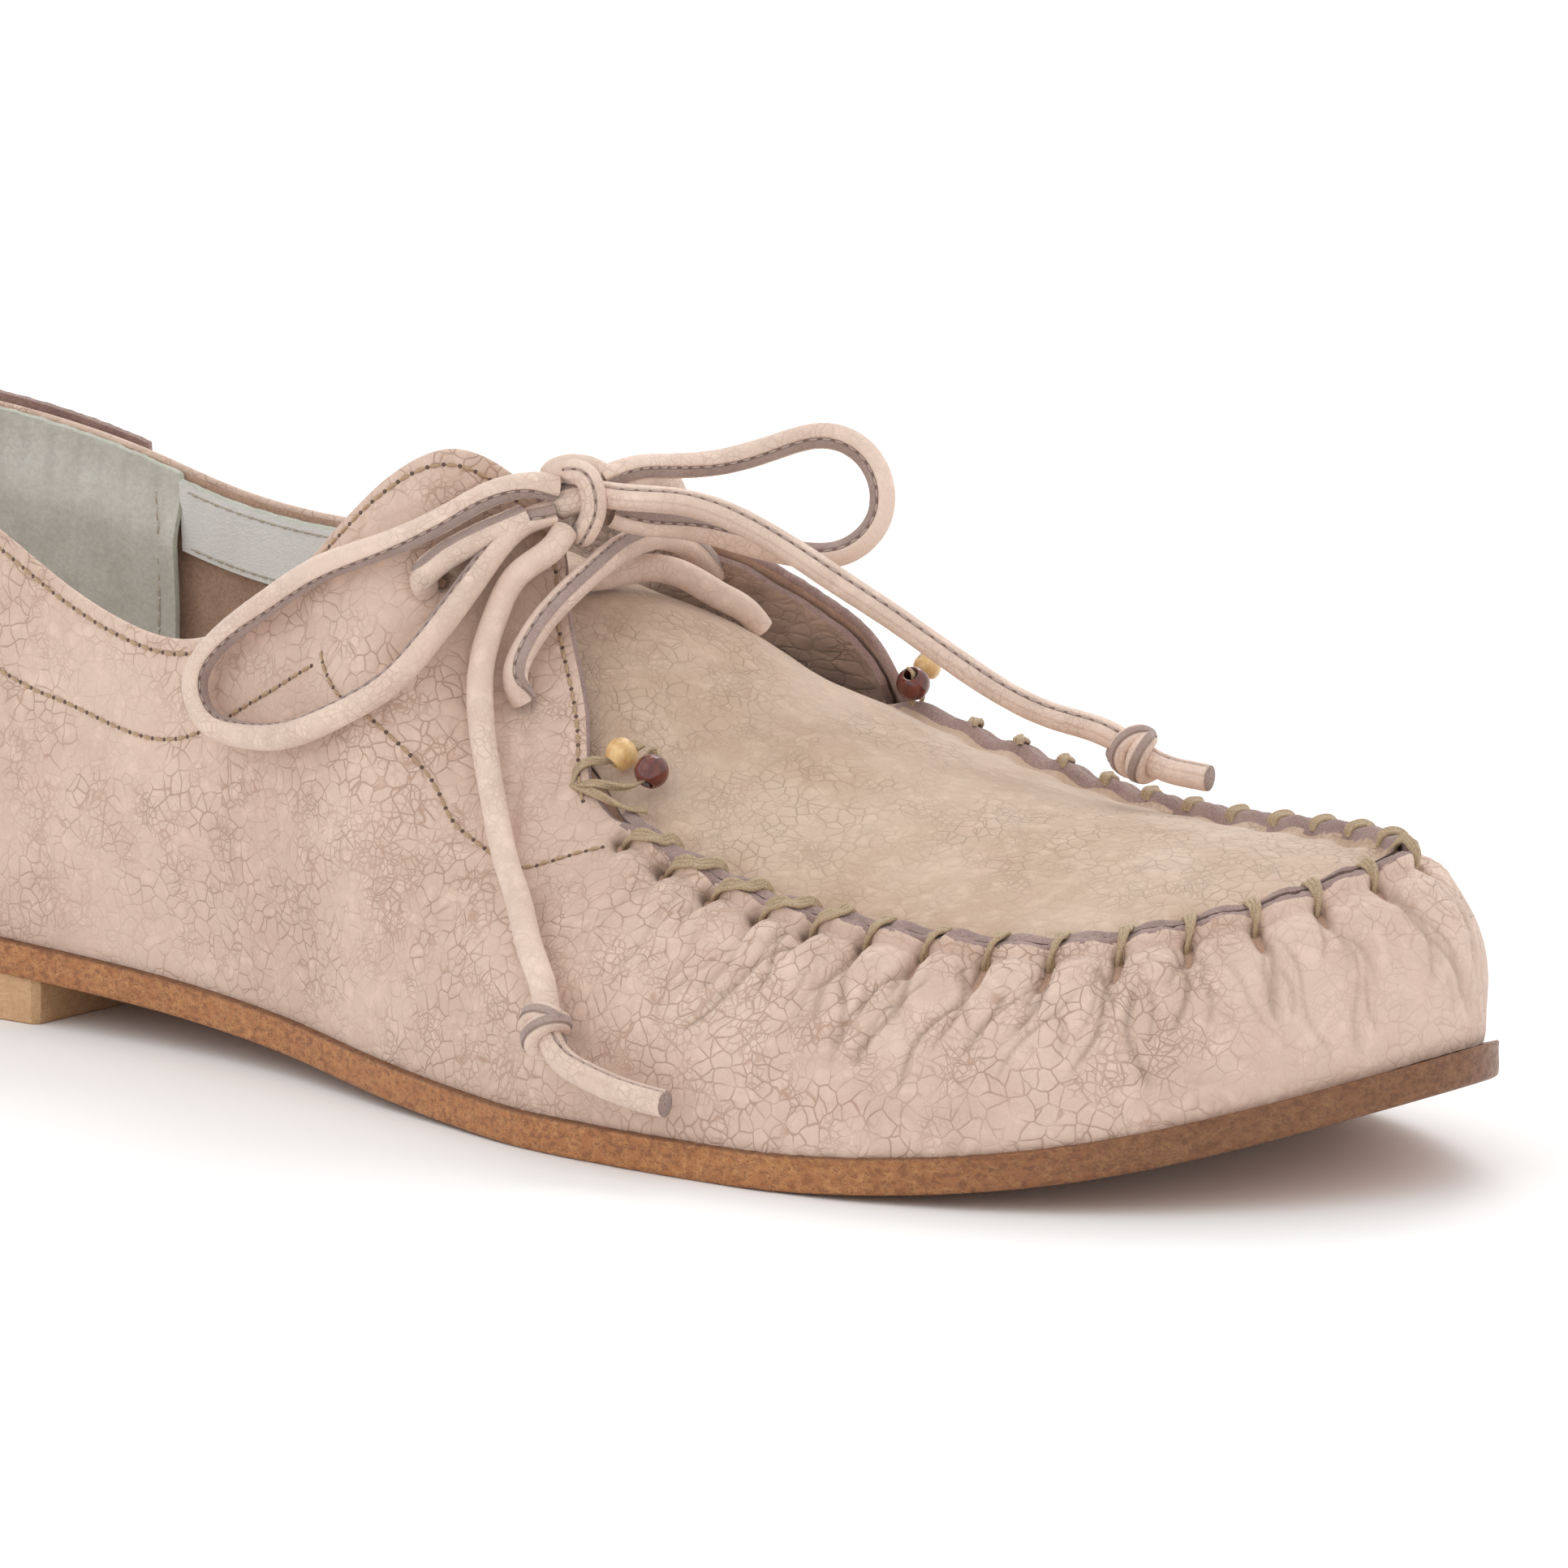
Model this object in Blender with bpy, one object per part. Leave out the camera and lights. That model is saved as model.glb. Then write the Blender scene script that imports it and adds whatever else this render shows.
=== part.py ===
"""A women's lace-up moccasin for the right foot, as an assembly of its separate pieces.

Shapes are worked out in millimetres, with x = 0 at the back of the heel, +x toward the toe,
+y toward the inner (medial) side and z = 0 on the ground. place() turns them into metres and
moves the origin to the middle of the footprint.
"""
import math

import bmesh
import bpy
import numpy as np
from mathutils import Matrix, Vector

MM = 0.001
GAP = 0.3                     # clearance between pieces that touch
LAYER_GAP = 0.6               # clearance between the curved layers of the upper
SOLE_THICKNESS = 4.5
WELT = 2.2                    # how far the outsole stands out past the upper
LEATHER = 1.3                 # upper leather
LASTING_MARGIN = 9.0          # edge of the upper turned in under the insole
INSOLE_THICKNESS = 2.0
SOCK_THICKNESS = 1.0
COUNTER_THICKNESS = 1.2
PUFF_THICKNESS = 0.8
LINING_THICKNESS = 1.0
TAB_THICKNESS = 1.1
APRON_THICKNESS = 1.8
LACE = 3.6                    # diameter of the rolled leather lace
THREAD = 1.1                  # diameter of the waxed hand-sewing thread
BEAD_BORE = 1.7
EYELET = 4.6
WALL_LEAN = 14                 # degrees that the upper leans outward where it leaves the sole
LOW_HANDLE, HIGH_HANDLE = 0.40, 0.38    # how far the wall keeps its end directions, of its height
APRON_ROUNDNESS = 1.9          # 2 is a parabola across the apron; more is flatter on top
SEAM_INSET, SEAM_DROP = 1.1, 0.3        # the apron's edge, from the top edge of the upper
HEEL_INSET, HEEL_LENGTH = 0.6, 59.5
SHANK_X, SHANK_Y = (52, 148), (-8.0, 5.0)
FILLER_START = 152
NAIL_RADIUS, NAIL_FOOT = 0.8, 1.5
NAIL_BORE_RADIUS, NAIL_BORE_FOOT = 1.15, 1.0
CENTRE = (129.26, -7.19)       # middle of the footprint

# Height of the underside of the outsole along the shoe, (x, z).
SOLE_UNDERSIDE = [(0, 8.6), (30, 7.5), (58, 6.0), (85, 4.4), (112, 2.3), (135, 0.7), (155, 0.0),
                  (190, 0.0), (212, 1.4), (236, 5.4), (261, 13.5)]

# The upper, station by station round the sole: heel, outer side, toe, inner side.
# Each row: sole edge x, y, top edge of the upper x, y, z, and the slope there in degrees
# (90 stands upright, 0 lies flat toward the middle).
STATIONS = [
    (0, 0, 5, 0, 74, 85), (1.5, -9.5, 8.5, -9.5, 73.3, 85), (9, -20, 15, -18, 71.2, 85),
    (24, -28, 28, -24.5, 68, 85), (45, -31, 47, -27, 64.2, 84), (62, -31.2, 63, -28.5, 57, 82),
    (75, -31.5, 76, -29.5, 52.8, 80), (88, -32.6, 88, -30, 53, 80),
    (98, -34.2, 98, -30, 58.4, 76), (106, -36, 105.5, -29.8, 65, 74),
    (112, -37.8, 111, -28.6, 71, 72), (117, -39.5, 115.8, -26, 76, 68),
    (122, -41.2, 121.5, -21.3, 78.8, 60), (127, -42.8, 127, -15.6, 75, 54),
    (132, -44.3, 131.5, -12.6, 68.2, 52), (137, -45.8, 134, -14.6, 61, 50),
    (142, -47.2, 138.2, -18.2, 54.6, 48), (147, -48.6, 143.4, -22.6, 47.6, 44),
    (152, -49.8, 147.6, -27, 40.6, 36), (158, -50.8, 155.4, -29.8, 36.2, 27),
    (170, -51.8, 170, -32.2, 31.6, 20), (185, -52, 185, -33.6, 29, 18),
    (200, -50.8, 200, -33.6, 28.2, 18), (215, -46.8, 214, -31.6, 28, 18),
    (230, -39.6, 226, -27.2, 29.4, 18), (243, -29, 235, -19.2, 31.6, 18),
    (252.5, -16.5, 241.4, -10.8, 34, 18), (257.6, -6, 244.6, -3, 36, 18),
    (258.6, 3.2, 246, 4.2, 37.3, 18), (255.8, 10.8, 243, 9.6, 37.5, 18),
    (247, 19.6, 235, 14.8, 37.2, 18), (229, 29.6, 220, 20.2, 36, 18),
    (205, 36.4, 201, 24, 35.4, 18), (180, 37.6, 181, 26.6, 37.6, 22),
    (165, 36.6, 166, 27.6, 40.4, 30), (157, 35.4, 157.4, 27.6, 43.4, 42),
    (150, 34, 151.6, 27.4, 51.4, 54), (143, 32.6, 144.4, 25.6, 57, 60),
    (136, 31.2, 136.6, 22.8, 61.4, 62), (128, 30, 128, 20.4, 64.6, 63),
    (120, 28.8, 118.5, 19.6, 67.8, 66), (113, 28, 110, 21.6, 70.6, 70),
    (106, 27.4, 102.5, 24.6, 68.4, 76), (98, 27, 95, 27.2, 63.8, 80),
    (85, 26.8, 83, 28.4, 59.8, 82), (66, 27.5, 65, 28.6, 58.8, 84),
    (45, 28.6, 45, 28.4, 61, 85), (24, 27, 27.5, 26.4, 66, 85),
    (9, 20, 14.6, 19.4, 70.4, 85), (1.5, 9.5, 8.2, 10, 73, 85)]
NOTCH_LATERAL, TOE_TIP, NOTCH_MEDIAL = 19, 28, 35     # stations where the apron seam runs
TONGUE = [  # outer edge, crest and inner edge of the tongue, behind the notches
    ((146, -23.6, 41.4), (148, 1, 52.4), (150, 24, 44)),
    ((136, -21.8, 46.4), (139, 1, 56.6), (141, 21.4, 48.8)),
    ((126, -22, 51.5), (128, 0, 59.6), (131, 18.6, 52.8)),
    ((115, -18.5, 57), (116, 0, 63.6), (119, 15.6, 57.5))]
APRON_CREST = [(246, 37.2), (236, 37.2), (220, 37.4), (202, 38.2), (186, 39.9), (172, 43),
               (158, 48)]      # height of the apron's middle line along the shoe, (x, z)


# ---------------------------------------------------------------- curves and surfaces
def spline(params, values, period=None):
    """The smooth cubic through values at params; it closes on itself when it has a period."""
    params, values = np.asarray(params, float), np.asarray(values, float)
    values = values.reshape(len(params), -1)
    if period:
        params, values = np.append(params, params[0] + period), np.vstack([values, values[:1]])
    n, step = len(params), np.diff(params)
    slope = np.diff(values, axis=0) / step[:, None]
    system, right = np.eye(n), np.zeros_like(values)
    for i in range(1, n - 1):
        system[i, i - 1:i + 2] = step[i - 1], 2 * (step[i - 1] + step[i]), step[i]
        right[i] = 6 * (slope[i] - slope[i - 1])
    if period:
        system[0, :2], system[0, -2] = (2 * (step[-1] + step[0]), step[0]), step[-1]
        right[0] = 6 * (slope[0] - slope[-1])
        system[-1, 0], system[-1, -1] = 1, -1
    bend = np.linalg.solve(system, right)

    def at(u):
        u = np.asarray(u, float)
        if period:
            u = params[0] + (u - params[0]) % period
        i = np.clip(np.searchsorted(params, u, side="right") - 1, 0, n - 2)
        h, a = step[i][..., None], (params[i + 1] - u)[..., None]
        b = h - a
        return ((bend[i] * a ** 3 + bend[i + 1] * b ** 3) / (6 * h)
                + (values[i] / h - bend[i] * h / 6) * a + (values[i + 1] / h - bend[i + 1] * h / 6) * b)
    return at


def along(points, closed=False):
    """Running distance along a line of points, and the whole length."""
    points = np.asarray(points, float)
    if closed:
        points = np.vstack([points, points[:1]])
    run = np.concatenate([[0], np.cumsum(np.linalg.norm(np.diff(points, axis=0), axis=1))])
    return (run[:-1], run[-1]) if closed else (run, run[-1])


_table = np.array(STATIONS, float)
_run, _round = along(_table[:, :2], closed=True)
STATION_S = _run / _round
_upper = spline(STATION_S, _table, period=1.0)
_under = spline([p[0] for p in SOLE_UNDERSIDE], [p[1] for p in SOLE_UNDERSIDE])


def with_z(xy, z):
    return np.concatenate([xy, z[..., None]], axis=-1)


def sole_under(x):
    return np.maximum(_under(np.clip(x, 0, 261))[..., 0], 0)


def sole_top(x):
    return sole_under(x) + SOLE_THICKNESS


def sole_edge(s, inset=0.0):
    """Edge of the sole in plan at s, and the direction that points away from the shoe."""
    tangent = _upper(s + 1e-4)[..., :2] - _upper(s - 1e-4)[..., :2]
    tangent /= np.linalg.norm(tangent, axis=-1)[..., None]
    outward = np.stack([tangent[..., 1], -tangent[..., 0]], -1)
    return _upper(s)[..., :2] - outward * inset, outward


def wall(s, t):
    """Outer surface of the upper: t = 0 at the sole, 1 at the top edge, 0 to -1 turned in under."""
    s, t = np.broadcast_arrays(np.asarray(s, float), np.asarray(t, float))
    row = _upper(s)
    foot_xy, outward = sole_edge(s, WELT)
    foot = with_z(foot_xy, sole_top(foot_xy[..., 0]) + GAP)
    top, slope = row[..., 2:5], np.radians(row[..., 5])[..., None]
    out = with_z(outward, np.zeros(s.shape))
    up = np.array([0.0, 0, 1])
    reach = np.linalg.norm(top - foot, axis=-1)[..., None]
    lean = np.radians(WALL_LEAN)
    low = foot + reach * LOW_HANDLE * (up * np.cos(lean) + out * np.sin(lean))
    high = top + reach * HIGH_HANDLE * (out * np.cos(slope) - up * np.sin(slope))
    v = np.clip(t, 0, None)[..., None]
    body = (foot * (1 - v) ** 3 + 3 * low * v * (1 - v) ** 2 + 3 * high * v ** 2 * (1 - v) + top * v ** 3)
    tucked = np.clip(-t, 0, 1)[..., None]
    flange = foot - out * LASTING_MARGIN * tucked
    flange[..., 2] = sole_top(flange[..., 0]) + GAP
    return np.where(t[..., None] < 0, flange, body)


def wall_normal(s, t, step=2e-3):
    s, t = np.broadcast_arrays(np.asarray(s, float), np.asarray(t, float))
    round_it = wall(s + step, t) - wall(s - step, t)
    up_it = wall(s, np.minimum(t + step, 1.1)) - wall(s, t - step)
    normal = np.cross(round_it, up_it)
    return normal / np.linalg.norm(normal, axis=-1)[..., None]


def height_t(s, height):
    """The t at which the wall reaches a height in z, for each s."""
    t = np.linspace(0, 1, 80)
    grid = wall(np.asarray(s)[:, None], t[None, :])[..., 2]
    return np.array([np.interp(h, z, t) for h, z in zip(np.broadcast_to(height, len(s)), grid)])


def apron_ribs():
    """Left edge, crest and right edge of the apron and tongue from the toe backward."""
    crest = np.array(APRON_CREST[::-1])
    ribs = []
    for f in np.linspace(0.05, 1, 14):
        pair = []
        for notch in (NOTCH_LATERAL, NOTCH_MEDIAL):
            s = STATION_S[TOE_TIP] + f * (STATION_S[notch] - STATION_S[TOE_TIP])
            _, outward = sole_edge(np.array(s))
            pair.append(_upper(np.array(s))[2:5] - np.append(outward * SEAM_INSET, SEAM_DROP))
        middle = (pair[0] + pair[1]) / 2
        middle[2] = max(np.interp(middle[0], crest[:, 0], crest[:, 1]), middle[2])
        ribs.append((pair[0], middle, pair[1]))
    ribs += [tuple(np.array(p, float) for p in rib) for rib in TONGUE]
    return np.array(ribs)


_ribs = apron_ribs()
_rib_run, APRON_LENGTH = along(_ribs[:, 1])
_rib = spline(_rib_run, _ribs.reshape(len(_ribs), 9))


def apron(a, w):
    """Top surface of the apron: a is the distance back from the toe, w runs -1 to 1 across."""
    a, w = np.broadcast_arrays(np.asarray(a, float), np.asarray(w, float))
    left, crest, right = np.split(_rib(a), 3, axis=-1)
    w = w[..., None]
    return crest + (right - left) / 2 * w + ((left + right) / 2 - crest) * np.abs(w) ** APRON_ROUNDNESS


# ---------------------------------------------------------------- solids
def finish(name, built, colour, roughness, metallic=0.0, smooth=True):
    bmesh.ops.recalc_face_normals(built, faces=built.faces)
    if built.calc_volume(signed=True) < 0:
        bmesh.ops.reverse_faces(built, faces=built.faces)
    mesh = bpy.data.meshes.new(name)
    built.to_mesh(mesh)
    built.free()
    if smooth:
        mesh.shade_smooth()
        mesh.set_sharp_from_angle(angle=math.radians(40))
    obj = bpy.data.objects.new(name, mesh)
    bpy.context.scene.collection.objects.link(obj)
    return coloured(obj, colour, roughness, metallic)


def coloured(obj, colour, roughness, metallic=0.0):
    material = bpy.data.materials.new(obj.name)
    material.use_nodes = True
    shader = material.node_tree.nodes["Principled BSDF"]
    shader.inputs["Base Color"].default_value = (*colour, 1)
    shader.inputs["Roughness"].default_value = roughness
    shader.inputs["Metallic"].default_value = metallic
    obj.data.materials.append(material)
    return obj


def place(point):
    """Millimetres from the heel to metres from the middle of the footprint."""
    return Vector(((point[0] - CENTRE[0]) * MM, (point[1] - CENTRE[1]) * MM, point[2] * MM))


def sandwich(upper_side, lower_side, loop=False):
    """A closed solid between two grids of points; loop joins the first row to the last."""
    rows, columns = upper_side.shape[:2]
    built = bmesh.new()
    sides = [[[built.verts.new(place(p)) for p in row] for row in side]
             for side in (upper_side, lower_side)]
    top, low = sides
    for i in range(rows if loop else rows - 1):
        k = (i + 1) % rows
        for j in range(columns - 1):
            built.faces.new((top[i][j], top[k][j], top[k][j + 1], top[i][j + 1]))
            built.faces.new((low[i][j], low[i][j + 1], low[k][j + 1], low[k][j]))
        for j in (0, columns - 1):
            built.faces.new((top[i][j], low[i][j], low[k][j], top[k][j]))
    if not loop:
        for i in (0, rows - 1):
            for j in range(columns - 1):
                built.faces.new((top[i][j], top[i][j + 1], low[i][j + 1], low[i][j]))
    return built


def wall_layer(name, s, t, outer, thickness, look, loop=False):
    """A layer of the upper: outer is how far its outer face lies inside the upper's outer face."""
    grid_s = np.broadcast_to(s[:, None], t.shape)
    points, normals = wall(grid_s, t), wall_normal(grid_s, t)
    built = sandwich(points - normals * outer, points - normals * (outer + thickness), loop)
    return finish(name, built, *look)


def plate(name, inset, low, high, look, first=0.0, last=400.0, rows=34, smooth=True):
    """A flat piece of the bottom: low and high give its two heights at x."""
    s = np.linspace(0, 1, 721)
    edge, _ = sole_edge(s, inset)
    tip = int(np.argmax(edge[:, 0]))
    heel = np.argmin(edge[:, 0])
    lateral = edge[:tip + 1] if heel > tip else edge[heel:tip + 1]
    medial = edge[tip:][::-1]
    begin, end = max(first, edge[:, 0].min() + 0.15), min(last, edge[:, 0].max() - 0.15)
    x = begin + (end - begin) * (1 - np.cos(np.linspace(0, np.pi, rows))) / 2
    y0 = np.interp(x, lateral[:, 0], lateral[:, 1])
    y1 = np.interp(x, medial[:, 0], medial[:, 1])
    across = np.linspace(0, 1, 4)
    y = y0[:, None] + (y1 - y0)[:, None] * across
    xx = np.broadcast_to(x[:, None], y.shape)
    built = sandwich(np.dstack([xx, y, high(xx)]), np.dstack([xx, y, low(xx)]))
    return finish(name, built, *look, smooth=smooth)


def cord(name, route, diameter, look, spacing=None):
    """A cord along a smooth curve through the points of its route."""
    run, length = along(route)
    count = min(80, max(4, int(length / (spacing or diameter * 1.6)) + 1))
    points = spline(run, route)(np.linspace(0, length, count))
    curve = bpy.data.curves.new(name, "CURVE")
    curve.dimensions = "3D"
    curve.bevel_depth = diameter / 2 * MM
    curve.bevel_resolution = 2
    curve.use_fill_caps = True
    line = curve.splines.new("POLY")
    line.points.add(count - 1)
    for target, point in zip(line.points, points):
        target.co = (*place(point), 1)
    obj = bpy.data.objects.new(name, curve)
    bpy.context.scene.collection.objects.link(obj)
    return coloured(obj, *look)


def on_axis(obj, point):
    """Move an object's origin to a point on its joint's axis."""
    pivot = place(point)
    obj.data.transform(Matrix.Translation(-pivot))
    obj.location = pivot
    return obj


def turned(name, profile, centre, axis, segments, look):
    """A closed ring-shaped solid: profile is its section as (radius, height) points."""
    built = bmesh.new()
    turn = Vector(axis).to_track_quat("Z", "Y").to_matrix()
    rings = []
    for k in range(segments):
        angle = 2 * math.pi * k / segments
        ring = [turn @ Vector((r * math.cos(angle), r * math.sin(angle), h)) for r, h in profile]
        rings.append([built.verts.new(place(np.array(centre) + np.array(p))) for p in ring])
    for k in range(segments):
        for j in range(len(profile)):
            a, b = rings[k], rings[(k + 1) % segments]
            m = (j + 1) % len(profile)
            built.faces.new((a[j], b[j], b[m], a[m]))
    return finish(name, built, *look)


def blob(name, centre, radii, axis, look):
    """A rounded lump, longest along its axis, for a pulled-tight knot."""
    built = bmesh.new()
    bmesh.ops.create_uvsphere(built, u_segments=14, v_segments=9, radius=1)
    turn = Vector(axis).to_track_quat("Z", "Y").to_matrix()
    for vert in built.verts:
        local = Vector(c * r for c, r in zip(vert.co, radii))
        vert.co = place(np.array(centre) + np.array(turn @ local))
    return finish(name, built, *look)


# ---------------------------------------------------------------- looks: colour, roughness
NUBUCK = ((0.66, 0.50, 0.41), 0.85)
TONGUE_NUBUCK = ((0.62, 0.47, 0.37), 0.88)
MAUVE_SUEDE = ((0.20, 0.12, 0.10), 0.9)
GREY_SUEDE = ((0.42, 0.40, 0.35), 0.9)
CREAM = ((0.60, 0.58, 0.54), 0.6)
SOLE_LEATHER = ((0.28, 0.12, 0.06), 0.5)
HEEL_LEATHER = ((0.58, 0.34, 0.17), 0.5)
BOARD = ((0.35, 0.25, 0.16), 0.8)
CORK = ((0.40, 0.25, 0.13), 0.9)
STEEL = ((0.60, 0.60, 0.62), 0.35, 1.0)
THREAD_LOOK = ((0.30, 0.24, 0.13), 0.6)
TAN_BEAD = ((0.75, 0.48, 0.19), 0.25)
DARK_BEAD = ((0.10, 0.015, 0.01), 0.2)

# ---------------------------------------------------------------- lace: knot and routes
KNOT = (133.9, -11.7, 72.6)
KNOT_RADII = (3.4, 3.4, 5.8)
MEDIAL_TAIL_ROOT = (138.8, -10.8, 73.6)
ROUTES = {
    "lace_crossing_front": [(135, -25.8, 51.6), (134.8, -23.6, 56), (136.4, -18.4, 61.4),
                            (137, -13, 64.4), (135.6, -6, 66), (133.4, 1.5, 66.2),
                            (131.2, 8.5, 65.6), (130.8, 14.4, 63.6)],
    "lace_crossing_back": [(127.6, -8.6, 61.8), (128.2, -4.4, 61.6), (129.4, 0, 61.5),
                           (131.4, 5.4, 61.9), (133.8, 7.8, 61.3), (136.2, 9.6, 59.8),
                           (138.4, 11.6, 58.0), (139.8, 14.4, 56.1)],
    "lace_riser_lateral": [(122.9, -28.9, 64.4), (124, -27.7, 66), (125.4, -25.9, 67.4)],
    "lace_riser_medial": [(120.6, 27, 59), (121.2, 25.6, 64.6), (122.4, 20.8, 70.2),
                          (125, 12, 72.4), (128, 2, 73), (130.6, -7, 72.6)],
    "bow_loop_lateral": [(131.2, -16.8, 75), (127.9, -20, 74.4), (124.4, -25.6, 71.6),
                         (119, -31, 68.2), (110.6, -33.4, 64.8), (101.3, -33.4, 59.4),
                         (93.6, -33.4, 54), (90.1, -34.2, 48.4), (92.6, -35.4, 44.6),
                         (99, -36.8, 43.2), (109.8, -39.2, 44.6), (118.6, -39.4, 48.4),
                         (123.6, -36.8, 52), (125.8, -33, 56), (127.2, -28.6, 60.6),
                         (128.4, -23.6, 65.8), (130.4, -17.4, 70.6)],
    "bow_loop_medial": [(136.6, -8.2, 75.8), (137.6, 0, 76), (140.8, 9, 75.9),
                        (145, 14.8, 77.6), (149.4, 18.2, 78.8), (153.2, 19.8, 77.6),
                        (156.8, 20, 73.4), (157.6, 18.4, 68.8), (155, 14.6, 65),
                        (151, 11, 64.8), (146, 7, 66.2), (141, 1.5, 68.4), (138, -6.8, 70)],
    "lace_tail_lateral": [(133.6, -17, 67.2), (131.4, -20.4, 64.6), (130.6, -24, 60),
                          (131.6, -28.4, 53.6), (133.6, -31, 48), (136.8, -33.8, 43),
                          (140.9, -37.2, 37.8), (145.4, -40.8, 32.9), (150.2, -44.3, 28.9),
                          (155, -48, 24), (159.6, -51.2, 20)],
    "lace_tail_medial": [(138.8, -10.8, 73.6), (144, -3.5, 72.4), (151.8, 4, 67.8),
                         (159.4, 7, 63), (166.9, 9, 58.7), (177.2, 12, 52.2),
                         (187.8, 14.5, 47.6), (194.6, 16, 46)],
    "lace_end_lateral": [(165.4, -55, 13), (169, -55, 11.6), (175.4, -55, 10.2),
                         (181.4, -54.8, 9.6)],
    "lace_end_medial": [(202.9, 17.2, 42.3), (205.9, 17.6, 41.9), (209.2, 18, 41.6)]}
TAIL_KNOTS = {"tail_knot_lateral": ((162, -53.8, 16), (0.5, -0.45, -0.74)),
              "tail_knot_medial": ((198.9, 16.6, 43.9), (0.83, 0.14, -0.53))}
TAIL_KNOT_RADII = (3.0, 3.0, 4.0)
EYELETS = [(15.19, 0.832), (12.68, 0.807), (37.60, 0.891), (39.76, 0.882)]  # station, t

# Each bead: its centre and the direction of the thread that it sits on.
BEADS = {"bead_lateral_tan": ((149.8, -23.6, 44.2), (0.37, 0.67, 0.64), 2.05, TAN_BEAD),
         "bead_lateral_dark": ((155.4, -24.8, 42.8), (0.0, 0.62, 0.79), 2.15, DARK_BEAD),
         "bead_medial_dark": ((158.6, 24.6, 47.4), (0.22, -0.6, 0.77), 2.15, DARK_BEAD),
         "bead_medial_tan": ((157.5, 29.0, 48.8), (0.0, 0.26, 0.97), 1.8, TAN_BEAD)}
ROUND_STEPS = 112             # steps of every layer of the upper round the shoe
NAILS = [(14, 0), (28, -13), (28, 13), (46, -14), (46, 12)]


def station_s(number):
    """The place round the shoe of a station, which may lie between two."""
    return float(np.interp(number % len(STATIONS), np.arange(len(STATIONS) + 1),
                           np.append(STATION_S, 1.0)))


def round_shoe(first, last):
    """The upper's own steps round the shoe between two stations, through the heel if need be."""
    begin, end = station_s(first), station_s(last)
    end += 1 if end < begin else 0
    return np.arange(math.ceil(begin * ROUND_STEPS), int(end * ROUND_STEPS) + 1) / ROUND_STEPS


def between(low, high, count):
    """Grid of t between two heights that may each change round the shoe."""
    low, high = np.broadcast_arrays(np.atleast_1d(low), np.atleast_1d(high))
    return low[:, None] + (high - low)[:, None] * np.linspace(0, 1, count)


# ---------------------------------------------------------------- the bottom
def make_bottom():
    bed = GAP + LEATHER + GAP                       # top of the turned-in upper, over the sole
    plate("outsole", 0, sole_under, sole_top, SOLE_LEATHER, rows=44)
    plate("heel_block", HEEL_INSET, lambda x: 0 * x, lambda x: sole_under(x) - GAP, HEEL_LEATHER,
          last=HEEL_LENGTH, rows=20, smooth=False)
    plate("insole_board", WELT + LEATHER + 0.7, lambda x: sole_top(x) + bed,
          lambda x: sole_top(x) + bed + INSOLE_THICKNESS, BOARD)
    sock = bed + INSOLE_THICKNESS + GAP
    plate("sock_liner", WELT + 4.6, lambda x: sole_top(x) + sock,
          lambda x: sole_top(x) + sock + SOCK_THICKNESS, GREY_SUEDE)
    plate("bottom_filler", WELT + LASTING_MARGIN + 0.8, lambda x: sole_top(x) + GAP,
          lambda x: sole_top(x) + bed - GAP, CORK, first=FILLER_START, rows=24)
    x = np.linspace(*SHANK_X, 13)[:, None] * np.ones(2)
    y = np.ones((13, 1)) * np.array(SHANK_Y)
    built = sandwich(np.dstack([x, y, sole_top(x) + bed - GAP]),
                     np.dstack([x, y, sole_top(x) + GAP]))
    finish("shank", built, *STEEL, smooth=False)


def make_heel_nails():
    bored = [bpy.data.objects[n] for n in ("outsole", "heel_block", "insole_board")]
    for number, (x, y) in enumerate(NAILS, 1):
        top = float(sole_top(np.array(x))) + 2 * GAP + LEATHER + INSOLE_THICKNESS
        for name, radius, low, high in ((f"heel_nail_{number}", NAIL_RADIUS, NAIL_FOOT, top),
                                        (f"nail_bore_{number}", NAIL_BORE_RADIUS,
                                         NAIL_BORE_FOOT, top + 2)):
            built = bmesh.new()
            middle = Matrix.Translation(place((x, y, (low + high) / 2)))
            bmesh.ops.create_cone(built, cap_ends=True, segments=8, radius1=radius * MM,
                                  radius2=radius * MM, depth=(high - low) * MM, matrix=middle)
            cutter = finish(name, built, *STEEL)
        bore_through(cutter, bored)


def bore_through(cutter, pieces):
    cutter.hide_render = True
    cutter.display_type = "WIRE"
    for piece in pieces:
        cut = piece.modifiers.new(cutter.name, "BOOLEAN")
        cut.operation, cut.object, cut.solver = "DIFFERENCE", cutter, "EXACT"


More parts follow.
